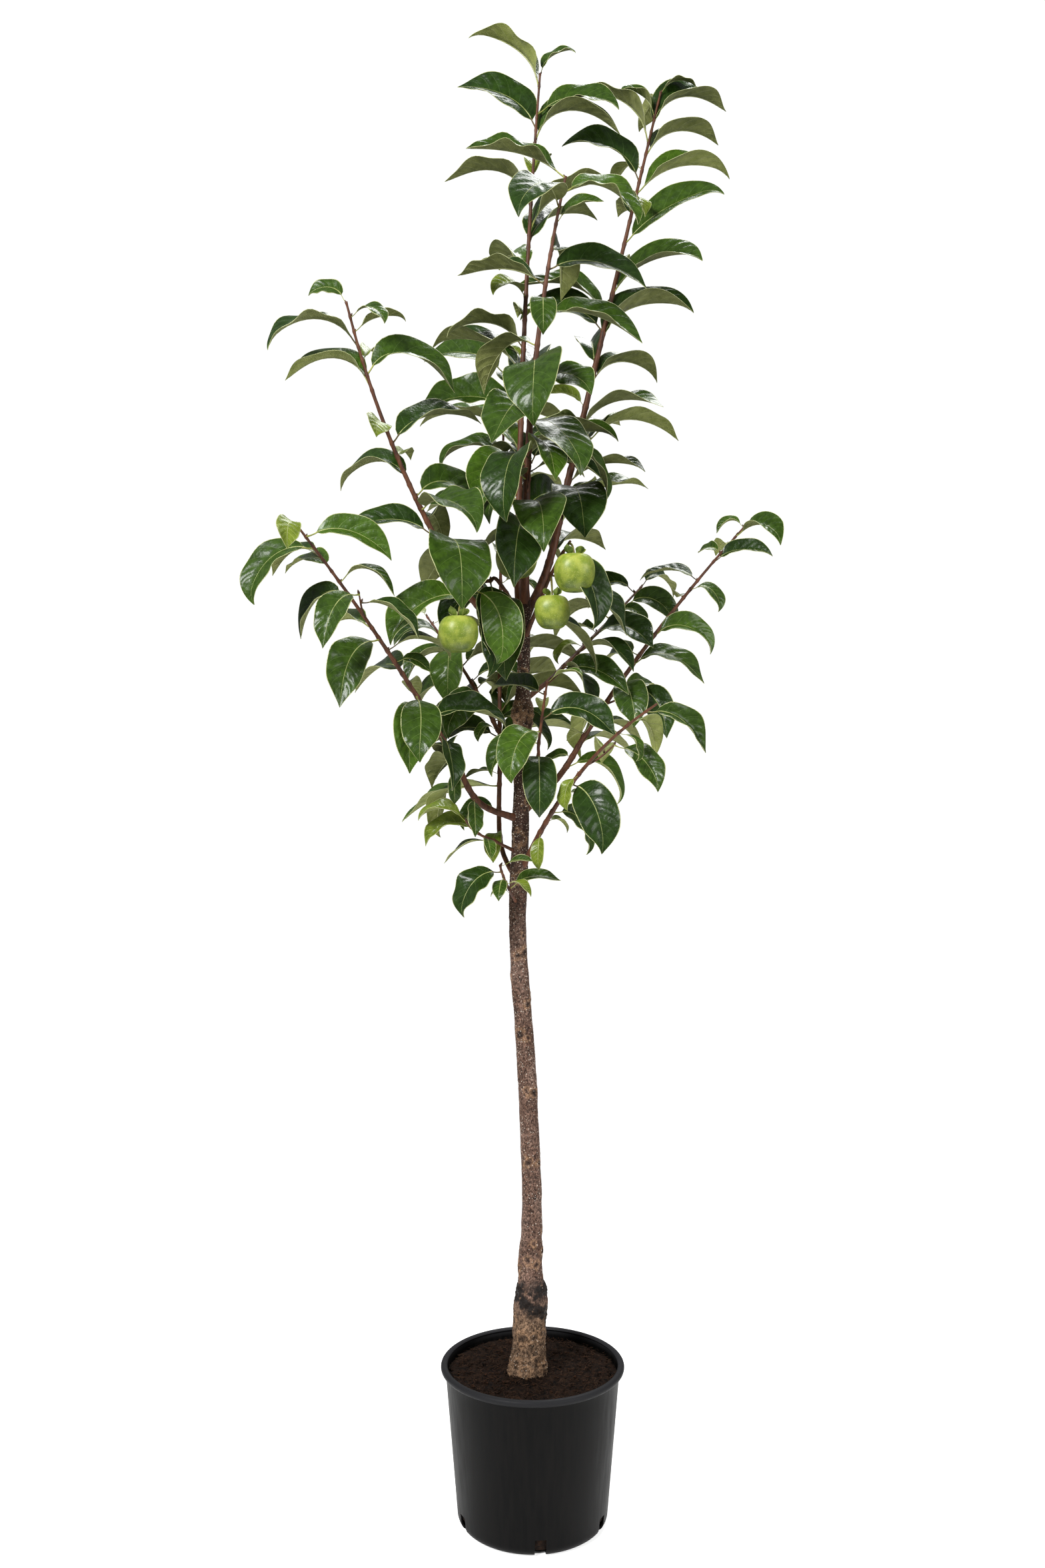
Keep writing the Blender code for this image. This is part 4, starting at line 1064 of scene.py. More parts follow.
def moulded_pot_finish():
    """Injection-moulded recycled polypropylene: near black, half matt, with upright scuffs, its rim painted
    a lighter grey as a sheen.
    """
    material, tree, place = new_finish("moulded_black_polypropylene", 0.46, 0.09)
    scuffs = grain(tree, place, 7 * MM, 6.0, (1, 1, 0.06))
    colour = mottle(tree, scuffs, "#040404", "#110f0e", 0.38, 0.74)
    # Painted sheen: the rim is painted a lighter grey, where its round bead would catch the light.
    rim = ramp(tree, upright(tree, place), POT_HEIGHT - RIM_BEAD - 1 * MM, POT_HEIGHT - 4 * MM)
    return dress(material, blend(tree, rim, colour, "#29292b"), scuffs, 0.2, 0.3 * MM,
                 ramp(tree, scuffs, 0.3, 0.7, 0.40, 0.56))


def potting_mix_finish(name, dark, light, size):
    """Peat and bark potting mix: dark brown, dull and crumbly."""
    material, tree, place = new_finish(name, 0.95, 0.15)
    crumbs = grain(tree, place, size, 7.0)
    return dress(material, mottle(tree, crumbs, dark, light, 0.35, 0.68), crumbs, 0.9, 2 * MM)


def fruit_skin_finish():
    """Unripe persimmon: smooth yellow-green skin under a thin bloom with pale freckles, painted light on top
    and painted shade below.
    """
    material, tree, place = new_finish("unripe_fruit_skin", 0.42, 0.45, Subsurface_weight=0.06,
                                       Coat_weight=0.12, Coat_roughness=0.3)
    blotches = grain(tree, place, 15 * MM)
    # Painted light and painted shade: a lighter green copy of the skin for the top of each fruit and a
    # darker one for below.
    painted_light = mottle(tree, blotches, "#8ba032", "#b6c053", 0.38, 0.62)
    painted_shade = mottle(tree, blotches, "#55681c", "#80902c", 0.38, 0.62)
    # The shoulder share paints the top of each fruit light and leaves its lower part in painted shade.
    colour = blend(tree, attribute(tree, "shoulder"), painted_shade, painted_light)
    freckles = ramp(tree, cells(tree, place, 2.4 * MM), 0.10, 0.24, 0.6, 0.0)
    return dress(material, blend(tree, freckles, colour, "#d0d68c"), grain(tree, place, 9 * MM, 2.0),
                 0.25, 0.6 * MM)


# ---------------------------------------------------------------- camera, light and floor
CAMERA_PLACE = (-0.0164, -2.25, 1.199)
SENSOR = 36.0
LENS_SHARE = 2062 / 2353     # focal length over the sensor's side
SKY_LIGHT = 0.27         # how strongly the white room lights the plant
SKY_SEEN = 1.05          # how white the room is to the camera
FLOOR_RADIUS = 1.4
FLOOR_GAP = 0.0005       # the floor lies this far under the pot's foot
FLOOR_GLOW = 0.70        # light that the floor sends back up, so that it stays as white as the room


def make_camera():
    """A level camera in front of the plant, at the height of the middle of its stem."""
    camera = put("camera", bpy.data.cameras.new("camera"))
    camera.data.sensor_width = SENSOR
    camera.data.lens = SENSOR * LENS_SHARE
    camera.location = CAMERA_PLACE
    camera.rotation_euler = (math.radians(90), 0, 0)
    bpy.context.scene.camera = camera


def make_light(name, place, aim, size, power):
    """A round soft lamp at a place, turned to its aim."""
    light = bpy.data.lights.new(name, "AREA")
    light.shape = "DISK"
    light.size = size
    light.energy = power
    lamp = put(name, light)
    lamp.location = place
    lamp.rotation_euler = (Vector(aim) - Vector(place)).to_track_quat("-Z", "Y").to_euler()


def make_floor():
    """A white floor whose glow stops under the pot's foot, so the drainage slots stay dark."""
    material, tree, place = new_finish("matt_white_floor_paint", 0.9, 0.2)
    dress(material, mottle(tree, grain(tree, place, 400 * MM), "#f4f4f2", "#fafaf9"))
    shader = tree.nodes["Principled BSDF"]
    shader.inputs["Emission Color"].default_value = hex_colour("#ffffff")
    reach = add_node(tree, "ShaderNodeVectorMath", (), [(0, place)], operation="LENGTH").outputs["Value"]
    glow = ramp(tree, reach, BASE_RADIUS - 3 * MM, BASE_RADIUS - 2 * MM, 0.0, FLOOR_GLOW)
    tree.links.new(glow, shader.inputs["Emission Strength"])
    radii = np.array([0.001, 0.5, 1.0, FLOOR_RADIUS])[:, None]
    points = round_points(radii, round_turn(64), -FLOOR_GAP)
    mesh = bpy.data.meshes.new("floor")
    mesh.from_pydata(points.reshape(-1, 3), [], flipped(grid_quads(len(radii), 64, closed=True)).tolist())
    mesh.materials.append(material)
    floor = put("floor", mesh)


def make_studio():
    """A white room: brighter to the camera than to the plant, with three lamps and a floor."""
    world = bpy.data.worlds.new("studio")
    bpy.context.scene.world = world
    world.use_nodes = True
    tree = world.node_tree
    background = tree.nodes["Background"]
    background.inputs["Color"].default_value = hex_colour("#ffffff")
    seen = add_node(tree, "ShaderNodeLightPath").outputs["Is Camera Ray"]
    tree.links.new(ramp(tree, seen, 0.0, 1.0, SKY_LIGHT, SKY_SEEN), background.inputs["Strength"])
    make_light("key", (-1.9, -2.7, 3.4), (0, 0, 1.5), 1.2, 140)
    make_light("fill", (2.7, -2.2, 2.2), (0, 0, 1.3), 1.6, 40)
    make_light("top", (0.6, 1.6, 4.2), (0, 0, 1.6), 1.8, 90)
    bpy.context.scene.view_settings.view_transform = "Standard"
    make_floor()


# ---------------------------------------------------------------- pot and potting mix
SOIL_INSET = POT_WALL + 0.0012    # from the pot's outer face to the potting mix
CRUMBS = 1500
FIBRES = 1500


def wall_radius(height):
    """Outer radius of the pot's wall above its rounded foot."""
    share = (height - FOOT_ROUND) / (POT_HEIGHT - RIM_BEAD - FOOT_ROUND)
    return FOOT_RADIUS + (RIM_RADIUS - RIM_OVERHANG - FOOT_RADIUS) * share


def arc(middle, radius, first, last, count):
    """Points (radius, height) on an arc, the angles in degrees from outward, turning up."""
    turn = np.radians(np.linspace(first, last, count))
    return np.stack([middle[0] + radius[0] * np.cos(turn), middle[1] + radius[1] * np.sin(turn)], axis=-1)


def make_pot():
    """The moulded pot: an outline of arcs and straight runs turned about the upright axis, then slotted."""
    under = POT_HEIGHT - RIM_BEAD
    wall = RIM_RADIUS - RIM_OVERHANG
    bead = RIM_BEAD / 2
    drop = FOOT_RADIUS - BASE_RADIUS
    inner_foot = FOOT_RADIUS - POT_WALL
    runs = [
        arc((RIM_RADIUS - bead, POT_HEIGHT - bead), (bead, bead), 150, -78, 14),
        [(wall + 0.0022, under + 0.0006), (wall + 0.0004, under - 0.0006)],
        [(wall_radius(height), height) for height in np.linspace(under - 0.006, FOOT_ROUND + 0.003, 24)],
        arc((BASE_RADIUS, FOOT_ROUND), (drop, FOOT_ROUND), 0, -90, 8),
        [(radius, 0.0) for radius in (0.10, 0.08, 0.05, 0.02, 0.0005)],
        [(radius, POT_FLOOR) for radius in (0.0005, 0.05, 0.10)],
        arc((BASE_RADIUS - POT_WALL, POT_FLOOR + FOOT_ROUND), (drop, FOOT_ROUND), -80, 0, 6),
        [(inner_foot + (wall - inner_foot) * k / 6 - POT_WALL * k / 6, 0.02 + (under - 0.02) * k / 6)
         for k in range(1, 7)],
        [(wall - 0.0002, POT_HEIGHT - 0.0062)],
    ]
    profile = np.concatenate([np.asarray(run, dtype=float) for run in runs])
    rows = len(profile)
    sides = 176
    turn = round_turn(sides)
    radius = profile[:, :1] * (1 + 0.0006 * np.sin(turn * 3 + 0.7))
    points = round_points(radius, turn, profile[:, 1:])
    quads = flipped(grid_quads(rows + 1, sides, closed=True) % (rows * sides))
    pot = make_piece("pot_shell", points, quads, moulded_pot_finish())
    cut_slots(pot)
    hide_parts("pot")


def cut_slots(pot):
    """Drainage slots with round corners, cut through the foot of the wall."""
    half = SLOT_WIDTH / 2
    inset = half - SLOT_CORNER
    corners = [arc((side * inset, SLOT_TOP - SLOT_CORNER), (SLOT_CORNER, SLOT_CORNER), first, first + 90, 5)
               for side, first in ((1, 0), (-1, 90))]
    outline = np.concatenate(corners + [[[-half, -SLOT_BELOW], [half, -SLOT_BELOW]]])
    count = len(outline)
    points = np.array([[(reach, *place) for place in outline]
                       for reach in (BASE_RADIUS - SLOT_REACH, FOOT_RADIUS + 0.012)]).reshape(-1, 3)
    faces = grid_quads(2, count, closed=True).tolist()
    faces += [list(range(count))[::-1], list(range(count, 2 * count))]
    for angle in np.radians(SLOT_ANGLES):
        mesh = bpy.data.meshes.new("slot_cutter")
        spin = np.array([[math.cos(angle), math.sin(angle), 0], [-math.sin(angle), math.cos(angle), 0],
                         [0, 0, 1]])
        mesh.from_pydata((points @ spin).tolist(), [], faces)
        work = bmesh.new()
        work.from_mesh(mesh)
        bmesh.ops.recalc_face_normals(work, faces=work.faces)
        work.to_mesh(mesh)
        work.free()
        cutter = put("slot_cutter", mesh)
        cut = pot.modifiers.new("slot", "BOOLEAN")
        cut.object = cutter
        bpy.context.view_layer.update()
        evaluated = pot.evaluated_get(bpy.context.evaluated_depsgraph_get())
        slotted = bpy.data.meshes.new_from_object(evaluated)
        pot.modifiers.remove(cut)
        pot.data = slotted
        bpy.data.objects.remove(cutter)
    pot.data.set_sharp_from_angle(angle=math.radians(40))


def make_soil():
    """Potting mix: a heaped, crumbly top that turns down inside the pot's wall to its floor."""
    rows, sides = 96, 220
    edge = wall_radius(SOIL_TOP) - SOIL_INSET
    radius = np.linspace(0.004, edge, rows)[:, None]
    turn = round_turn(sides)
    spots = round_points(radius, turn, 0.0)
    lumps = rough_noise(spots / 0.022 + 3.1, 2) * 0.0070
    crumbs = np.abs(rough_noise(spots / 0.0055 + 9.4, 3)) * 0.0085
    fade = np.clip((edge - radius) / 0.012, 0, 1)
    top = round_points(radius, turn, SOIL_TOP - 0.0030 + (lumps + crumbs) * (0.35 + 0.65 * fade))
    depths = [(edge, SOIL_TOP - 0.012), (wall_radius(0.12) - SOIL_INSET, 0.12),
              (FOOT_RADIUS - SOIL_INSET - 0.0002, FOOT_ROUND + 0.003),
              (BASE_RADIUS - 0.0030, POT_FLOOR + 0.0008)]
    skirt = [round_points(reach, turn, height) for reach, height in depths]
    soil = make_piece("potting_mix_bed", np.concatenate([top, skirt]),
                      flipped(grid_quads(rows + len(depths), sides, closed=True)),
                      potting_mix_finish("peat_potting_mix", "#040201", "#2c1d13", 8 * MM))
    make_crumbs(edge)
    make_fibres(edge)
    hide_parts("soil")


def make_crumbs(edge):
    """Loose crumbs and bits of bark on the mix: squashed, knobbly globes thrown about by seed."""
    rng = np.random.default_rng(5)
    rows, sides = 5, 7
    polar = np.linspace(0.08, math.pi - 0.08, rows)[:, None]
    ball = round_points(np.sin(polar), round_turn(sides), np.cos(polar)).reshape(-1, 3)
    spread = np.sqrt(rng.uniform(0.04, 0.97, CRUMBS)) * edge
    angle = rng.uniform(0, math.tau, CRUMBS)
    size = rng.gamma(2.0, 0.75 * MM, CRUMBS).clip(0.6 * MM, 4.0 * MM)
    squash = rng.uniform(0.35, 1.0, (CRUMBS, 1, 3)) * np.array([1.45, 1.0, 0.6])
    knobs = rng.uniform(0.60, 1.25, (CRUMBS, rows * sides, 1))
    x, y, z = np.moveaxis(ball[None] * squash * knobs * size[:, None, None], -1, 0)
    spin = rng.uniform(0, math.tau, CRUMBS)[:, None]
    turned = np.stack([x * np.cos(spin) - y * np.sin(spin), x * np.sin(spin) + y * np.cos(spin), z], axis=-1)
    height = SOIL_TOP - 0.001 + size * 0.25 + rng.uniform(-0.001, 0.001, CRUMBS)
    points = turned + round_points(spread, angle, height)[:, None]
    peat = CRUMBS * 2 // 3
    for name, part, finish in (
            ("potting_mix_crumbs", points[:peat], ("peat_crumbs", "#060302", "#301f14", 6 * MM)),
            ("bark_chips", points[peat:], ("composted_bark_chips", "#1a100a", "#42291a", 3 * MM))):
        piece = make_piece(name, part, flipped(many_grids(rows, sides, len(part))),
                           potting_mix_finish(*finish))


def make_fibres(edge):
    """Coir and peat fibres that lie on the mix: thin bent strands, thrown about by seed."""
    rng = np.random.default_rng(8)
    spread = np.sqrt(rng.uniform(0.03, 0.95, FIBRES))[:, None] * edge
    angle = rng.uniform(0, math.tau, FIBRES)[:, None]
    heading = rng.uniform(0, math.tau, FIBRES)[:, None]
    turning = rng.uniform(-2.4, 2.4, FIBRES)[:, None]
    length = rng.uniform(3, 13, FIBRES)[:, None] * MM
    along = np.linspace(-0.5, 0.5, 6)[None, :]
    way = heading + turning * along
    x = spread * np.cos(angle) + np.cumsum(np.cos(way), axis=1) * length / 5
    y = spread * np.sin(angle) + np.cumsum(np.sin(way), axis=1) * length / 5
    shrink = np.minimum(1.0, (edge - 0.001) / np.maximum(np.hypot(x, y), 1e-6))
    tilt = rng.uniform(-0.25, 0.35, FIBRES)[:, None] * along * length
    z = SOIL_TOP + 0.0012 + rng.uniform(-0.001, 0.0015, FIBRES)[:, None] + tilt
    centres = np.stack([x * shrink, y * shrink, z], axis=-1)
    radii = rng.uniform(0.14, 0.34, FIBRES)[:, None] * MM * np.array([0.5, 1, 1, 1, 0.9, 0.4])
    half = FIBRES // 2
    for name, part, colours in (("dark_peat_fibres", slice(0, half), ("#150d08", "#2e1d13")),
                                ("pale_coir_fibres", slice(half, None), ("#33231a", "#5e4534"))):
        strands = make_piece(name, ring_grid(centres[part], radii[part], 4), many_grids(6, 4, half),
                             potting_mix_finish(name, *colours, 3 * MM))


# ---------------------------------------------------------------- trunk and boughs
# Knots, pruned stubs and corky lumps of the trunk: height, the way they face, size and how proud they
# stand in millimetres, and how dark their middle is.
KNOTS = [
    (0.246, -165, 8, 3.4, 0.0), (0.248, -96, 9, 3.2, 0.1), (0.251, -28, 9, 3.4, 0.0),
    (0.262, -128, 6, 1.8, 0.4), (0.268, -62, 6, 1.6, 0.5), (0.300, -118, 9, 2.2, 0.8),
    (0.302, -72, 8, 1.8, 0.8), (0.318, -25, 7, 2.0, 0.3), (0.322, -160, 7, 2.0, 0.3),
    (0.250, 60, 9, 3.0, 0.1), (0.290, 120, 8, 2.2, 0.5), (0.310, 40, 8, 2.2, 0.5),
    (0.425, -100, 6, 1.4, 0.6), (0.418, -60, 6, 1.6, 0.6), (0.408, -165, 7, 2.0, 0.3),
    (0.436, -18, 6, 2.2, 0.9), (0.452, -75, 5, 1.2, 0.5), (0.470, -10, 5, 1.2, 0.7),
    (0.583, -105, 7, 1.3, 1.0), (0.581, -34, 6, 1.7, 1.0), (0.697, -52, 7, 1.8, 1.0),
    (0.699, -92, 6, 0.9, 0.3), (0.791, -118, 7, 1.6, 1.0), (0.786, -68, 5, 1.1, 0.9),
    (0.841, -48, 6, 1.4, 0.9), (0.853, 8, 7, 1.7, 0.1), (0.884, 172, 7, 1.6, 0.1),
    (0.925, -46, 8, 2.0, 1.0), (0.921, -92, 6, 0.8, 0.7), (0.952, -50, 4, 0.9, 1.0),
    (1.045, -80, 8, 1.8, 0.7), (1.170, -40, 6, 1.3, 0.8), (1.205, 170, 6, 1.2, 0.8),
    (1.300, -60, 12, 3.4, 0.6), (1.318, -140, 11, 3.0, 0.4), (1.325, 30, 10, 3.0, 0.4),
    (1.111, -98, 10, 3.0, 0.2), (1.380, -95, 7, 1.4, 0.8), (0.520, 120, 8, 1.8, 1.0),
    (0.640, 95, 7, 1.5, 1.0), (0.760, 140, 7, 1.6, 1.0), (0.980, 80, 8, 1.8, 1.0),
    (1.110, 130, 7, 1.4, 0.9),
]
SEAM_HEIGHT = 0.350      # the graft's seam, and how far it slants either way
SEAM_SLANT = 0.017
KNUCKLE_HEIGHT = 1.306
LENTICELS = 5200
LIMB_SIDES = 12


def trunk_surface():
    """The trunk's bark: at height z and angle a, the taper's radius plus relief and knots.

    The relief is noise stretched up the stem, stronger below the graft and roughest along the graft's
    slanting seam. A knot adds proud * exp(-d^2) with a pit in its middle and fainter rings round it, d being
    the distance over its size. Returned with it are the shares of scar, pale and graft at each point; the
    pale ring round each knot is partly callus and partly painted highlight.
    """
    rows = 640
    sides = 84
    path = trunk_path()
    low = SOIL_TOP - 0.004
    height = low + (TRUNK_TOP - low) * np.linspace(0, 1, rows) ** 1.25
    centre = np.array([trunk_centre(path, max(z, SOIL_TOP))[:2] for z in height])
    level = height[:, None]
    radius = np.array([trunk_girth(z) / 2 for z in height])[:, None]
    turn = round_turn(sides)
    spots = round_points(radius, turn, level)
    flakes = rough_noise(spots / 0.0075 + 7.3, 3)
    furrow = rough_noise(spots * np.array([1, 1, 0.35]) / 0.0042, 3)
    lump = rough_noise(spots * np.array([1, 1, 0.6]) / 0.019 + 5.0, 2)
    sand = rough_noise(spots / 0.0021 + 2.2, 2)
    shards = rough_noise(spots / 0.0036 + 3.1, 2)
    warp = 1 + 0.9 * rough_noise(spots / 0.006 + 21.0, 2)
    seam = bell(level - SEAM_HEIGHT + SEAM_SLANT * np.cos(turn), 0.012)
    shoulder = bell(level - 0.373, 0.014) * np.clip(np.cos(turn + 0.35), 0, 1) ** 0.6
    corner = bell(level - 0.378, 0.009) * np.clip(np.cos(turn + 2.5), 0, 1) ** 3
    rough = np.maximum(np.maximum(seam, shoulder), corner)
    knuckle = bell(level - KNUCKLE_HEIGHT, 0.020)
    below = np.clip((0.40 - level) / 0.05, 0, 1)
    relief = furrow * (0.6 + 1.3 * below) + sand * (0.35 + 0.5 * below) + lump * (1.4 + 3.2 * below)
    relief += (flakes * 5.5 + shards * 3.0) * rough + flakes * knuckle * 4.0
    relief += np.exp(-(level - low) / 0.022) * 2.4 * np.cos(5 * turn + 0.9)
    scar = np.zeros((rows, sides))
    pale = np.zeros((rows, sides))
    for place, facing, size, proud, dark in KNOTS:
        swing = (turn - math.radians(facing) + math.pi) % math.tau - math.pi
        away = np.hypot(level - place, swing * radius) / (size * MM) * warp
        rings = np.cos(away * 9.0)
        relief += proud * (bell(away, 1) - 1.05 * bell(away, 0.36) + 0.10 * rings * bell(away, 1.7))
        scar = np.maximum(scar, dark * bell(away, 0.68))
        scar = np.maximum(scar, 0.6 * below * np.clip(rings, 0, 1) * bell(away, 1.5))
        # Pale ring round each knot: partly callus and partly painted highlight.
        pale = np.maximum(pale, 0.5 * bell(away - 1.08, 0.32))
    graft = np.clip(rough * 1.9 - 0.30 + 1.6 * flakes, 0, 1) * 0.95
    bared = np.clip(3.2 * shards - 0.9, 0, 0.85)
    pale = np.maximum(pale * (1 - graft), bared * rough)
    pale = np.maximum(pale, np.clip(0.42 + 1.8 * flakes, 0, 0.75) * knuckle)
    scar = np.maximum(scar, np.clip(-3.0 * flakes - 0.25, 0, 0.9) * knuckle)
    points = round_points(radius + (relief - 0.4) * MM, turn, level)
    points[..., :2] += centre[:, None]
    top = points[-1].mean(axis=0)
    cap = [top + (points[-1] - top) * share + np.array([0, 0, rise]) for share, rise in
           ((0.80, 0.0016), (0.45, 0.0030), (0.05, 0.0034))]
    bare = np.zeros((len(cap), sides))
    shares = {key: np.concatenate([values, bare])
              for key, values in (("scar", scar), ("pale", pale), ("graft", graft * (1 - bared)))}
    return np.concatenate([points, cap]), shares


def make_trunk():
    """The trunk's bark as one mesh with its cut top, and the pores on it."""
    points, shares = trunk_surface()
    quads = grid_quads(*points.shape[:2], closed=True)
    trunk = make_piece("trunk_bark_mesh", points, quads, trunk_bark_finish(), **shares)
    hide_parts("trunk")
    make_lenticels(points)


def make_lenticels(points):
    """Pale breathing pores: small raised rounds scattered over the trunk, most of them above the graft."""
    rng = np.random.default_rng(12)
    rows, sides = points.shape[:2]
    row = rng.integers(4, rows - 8, LENTICELS)
    level = points[row, 0, 2]
    crowded = 0.22 + 0.78 * np.clip((level - 0.42) / 0.30, 0, 1) + 0.5 * (level > 1.02)
    row = row[rng.random(LENTICELS) * 1.5 < crowded]
    count = len(row)
    side = rng.integers(0, sides, count)
    here = points[row, side]
    up = unit(points[row + 2, side] - here)
    along = unit(points[row, (side + 2) % sides] - here)
    out = unit(np.cross(along, up))
    here = here + up * rng.uniform(-1.2, 1.2, (count, 1)) * MM
    here = here + along * rng.uniform(-0.6, 0.6, (count, 1)) * MM
    size = (0.42 + 0.70 * rng.random((count, 1, 1)) ** 1.5) * MM
    tall = rng.uniform(0.75, 1.15, (count, 1, 1))
    turn = round_turn(6)[:, None]
    disc = (along[:, None] * np.cos(turn) + up[:, None] * np.sin(turn) * tall) * size
    rings = [here[:, None] + disc * share + out[:, None] * rise * MM
             for share, rise in ((1.0, -0.25), (0.80, 0.34), (0.1, 0.44))]
    piece = make_piece("trunk_lenticels", np.stack(rings, axis=1), many_grids(3, 6, count),
                       plain_skin("corky_pale_pores", "#b3a18f", "#e2d6c8", 0.9))


def route_grid(shoot, route, start, end, nodes):
    """A stretch of a shoot's bark: the limb's radius, with bud swellings and fine wrinkles."""
    step = 3.0 * MM
    marks = np.linspace(start, end, max(4, int((end - start) / step)))
    line = np.array([point[:] for point in route.line])
    centres = np.stack([np.interp(marks, route.marks, line[:, k]) for k in range(3)], axis=-1)
    radius = np.array([shoot_girth(shoot, route, mark) for mark in marks]) / 2
    swell = sum((0.75 * MM * bell(marks - node, 3.2 * MM) for node in nodes), np.zeros(len(marks)))
    base = ring_grid(centres, radius, LIMB_SIDES)
    wrinkle = rough_noise(base * np.array([1, 1, 0.35]) / 0.004, 2) * 0.10
    return ring_grid(centres, radius[:, None] * (1 + wrinkle) + swell[:, None], LIMB_SIDES)


def closed_tube(points, sides):
    """A tube's points and quads, with its last ring drawn in to a point."""
    tip = points[-1].mean(axis=0)
    closing = np.array([tip + (points[-1] - tip) * share for share in (0.6, 0.05)])
    grid = np.concatenate([points, closing])
    return grid, grid_quads(len(grid), sides, closed=True)


def leaf_nodes(route, leaves):
    """Where along a shoot its leaves stand, those on its side twigs left out."""
    nodes = []
    for leaf in leaves:
        gap, mark = min(((leaf.base - point).length, mark) for point, mark in zip(route.line, route.marks))
        if gap < 0.010:
            nodes.append(mark)
    return nodes


def make_limbs(routes, starts, leaves, twigs):
    """Bark of the bare boughs, and of the stems and side twigs inside the masses."""
    bark = shoot_bark_finish()
    bare = []
    leafy = []
    pedicels = []
    for shoot in SHOOTS:
        route = routes[shoot.name]
        nodes = leaf_nodes(route, leaves[shoot.name])
        start = starts[shoot.name]
        if start:
            grid = route_grid(shoot, route, 0.004, start, nodes)
            bare.append((grid, grid_quads(len(grid), LIMB_SIDES, closed=True)))
        grid = route_grid(shoot, route, max(start, 0.004), route.length, nodes)
        leafy.append(closed_tube(grid, LIMB_SIDES))
        for twig in twigs[shoot.name]:
            line = np.array([point[:] for point in smooth_line(twig.points, 8)])
            radii = np.linspace(twig.girth / 2 * 1.15, twig.girth / 2 * 0.72, len(line))
            tube = closed_tube(ring_grid(line, radii, 8), 8)
            (pedicels if twig.girth == STALK_GIRTH else leafy).append(tube)
    boughs = make_piece("bough_bark", *join_grids(bare), bark)
    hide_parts(*[shoot.name for shoot in SHOOTS if shoot.bare is not None])
    stems = make_piece("shoot_and_twig_bark", *join_grids(leafy), bark)
    stalks = make_piece("fruit_stalks", *join_grids(pedicels),
                        plain_skin("woody_green_fruit_stalk", "#5b4a22", "#93913f"))
    return stems


def make_buds(leaves):
    """A small brown bud in the angle of each leaf: a cone that leans up along the shoot."""
    base = np.array([leaf.base[:] for leaf in leaves])[:, None]
    way = np.array([direction(leaf.heading, 62)[:] for leaf in leaves])[:, None]
    size = np.array([random.Random(str(k)).uniform(0.8, 1.25) for k in range(len(leaves))])[:, None]
    steps = np.array([0.8, 2.2, 4.0, 5.6, 6.4]) * MM * size
    radii = np.array([1.5, 1.7, 1.35, 0.7, 0.1]) * MM * size
    points = ring_grid(base + way * steps[..., None], radii, 6)
    piece = make_piece("leaf_buds", points, many_grids(5, 6, len(leaves)),
                       plain_skin("brown_bud_scales", "#3a2416", "#6d4a30", 0.6))


# ---------------------------------------------------------------- leaves and fruit
Tone = namedtuple("Tone", "name share dark light veins back stalk roughness")

# Each green's share of the leaves, its blade's and its lateral veins' two tones, and how its backs, its
# stalks and its gloss go.
TONES = [
    Tone("deep", 0.40, "#1c300b", "#304a17", ("#38501f", "#4b662d"), "grey", "brown", 0.36),
    Tone("middle", 0.41, "#283e0f", "#435f1c", ("#4c6827", "#647f38"), "grey", "green", 0.36),
    Tone("fresh", 0.15, "#354e13", "#507020", ("#65802f", "#839b48"), "soft", "green", 0.36),
    Tone("young", 0.04, "#5a6d1c", "#869832", ("#8c9a44", "#abb65f"), "soft", "green", 0.46),
]

# Pieces that join parts of all the greens' blades, each with the function and values of its finish.
LEAF_PARTS = {
    "leaf_backs_grey": (downy_leaf, "downy_leaf_back_grey", "#6f763b", "#989d5c"),
    "leaf_backs_soft": (downy_leaf, "downy_leaf_back_soft", "#7f8a3c", "#a9b065"),
    "leaf_rims": (plain_skin, "pale_leaf_rim", "#9ca262", "#cdd09a"),
    "leaf_midribs": (plain_skin, "leaf_midrib", "#7c8848", "#aeb573"),
    "midribs_below": (plain_skin, "round_midrib_below", "#9ca262", "#cdd09a"),
    "veins_below": (plain_skin, "raised_vein_below", "#8f9558", "#bcbf86", 0.55),
    "leaf_stalks_brown": (plain_skin, "sunned_leaf_stalk", "#4b3a1c", "#7d6f38"),
    "leaf_stalks_green": (plain_skin, "fleshy_leaf_stalk", "#838a3a", "#b4b661"),
}


def deal_tones(leaves):
    """Deal the leaves out among the greens by seed. Only a short leaf is a young one."""
    rng = random.Random(90)
    dealt = [[] for _ in TONES]
    for leaf in leaves:
        if leaf.length < YOUNG_BLADE:
            pick = rng.uniform(0.45, 1.25)
        else:
            pick = rng.random() * (1 - TONES[-1].share)
        tone = 0
        total = TONES[0].share
        while pick > total and tone < len(TONES) - 1:
            tone += 1
            total += TONES[tone].share
        dealt[tone].append(leaf)
    return dealt


def make_leaves(leaves):
    """Each green's blades, with their rims, ribs, veins and stalks as pieces of their own kind."""
    joined = {name: [] for name in LEAF_PARTS}
    for k, (tone, dealt) in enumerate(zip(TONES, deal_tones(leaves))):
        blades = Blades(dealt, 40 + k)
        make_piece("leaf_faces_" + tone.name, *upper_faces(blades),
                                 waxy_leaf("waxy_leaf_" + tone.name, tone.dark, tone.light, tone.roughness))
        make_piece("lateral_veins_" + tone.name, *lateral_veins(blades, 0.30 * MM, 0.14 * MM),
                                 plain_skin("lateral_vein_" + tone.name, *tone.veins, 0.45))
        joined["leaf_backs_" + tone.back].append(lower_faces(blades))
        joined["leaf_rims"].append(margins(blades))
        joined["leaf_midribs"].append(midribs(blades))
        joined["midribs_below"].append(under_ribs(blades))
        joined["veins_below"].append(lateral_veins(blades, 0.42 * MM, 0.34 * MM, below=True))
        joined["leaf_stalks_" + tone.stalk].append(petioles(blades))
    for name, (finish, *values) in LEAF_PARTS.items():
        make_piece(name, *join_grids(joined[name]), finish(*values))


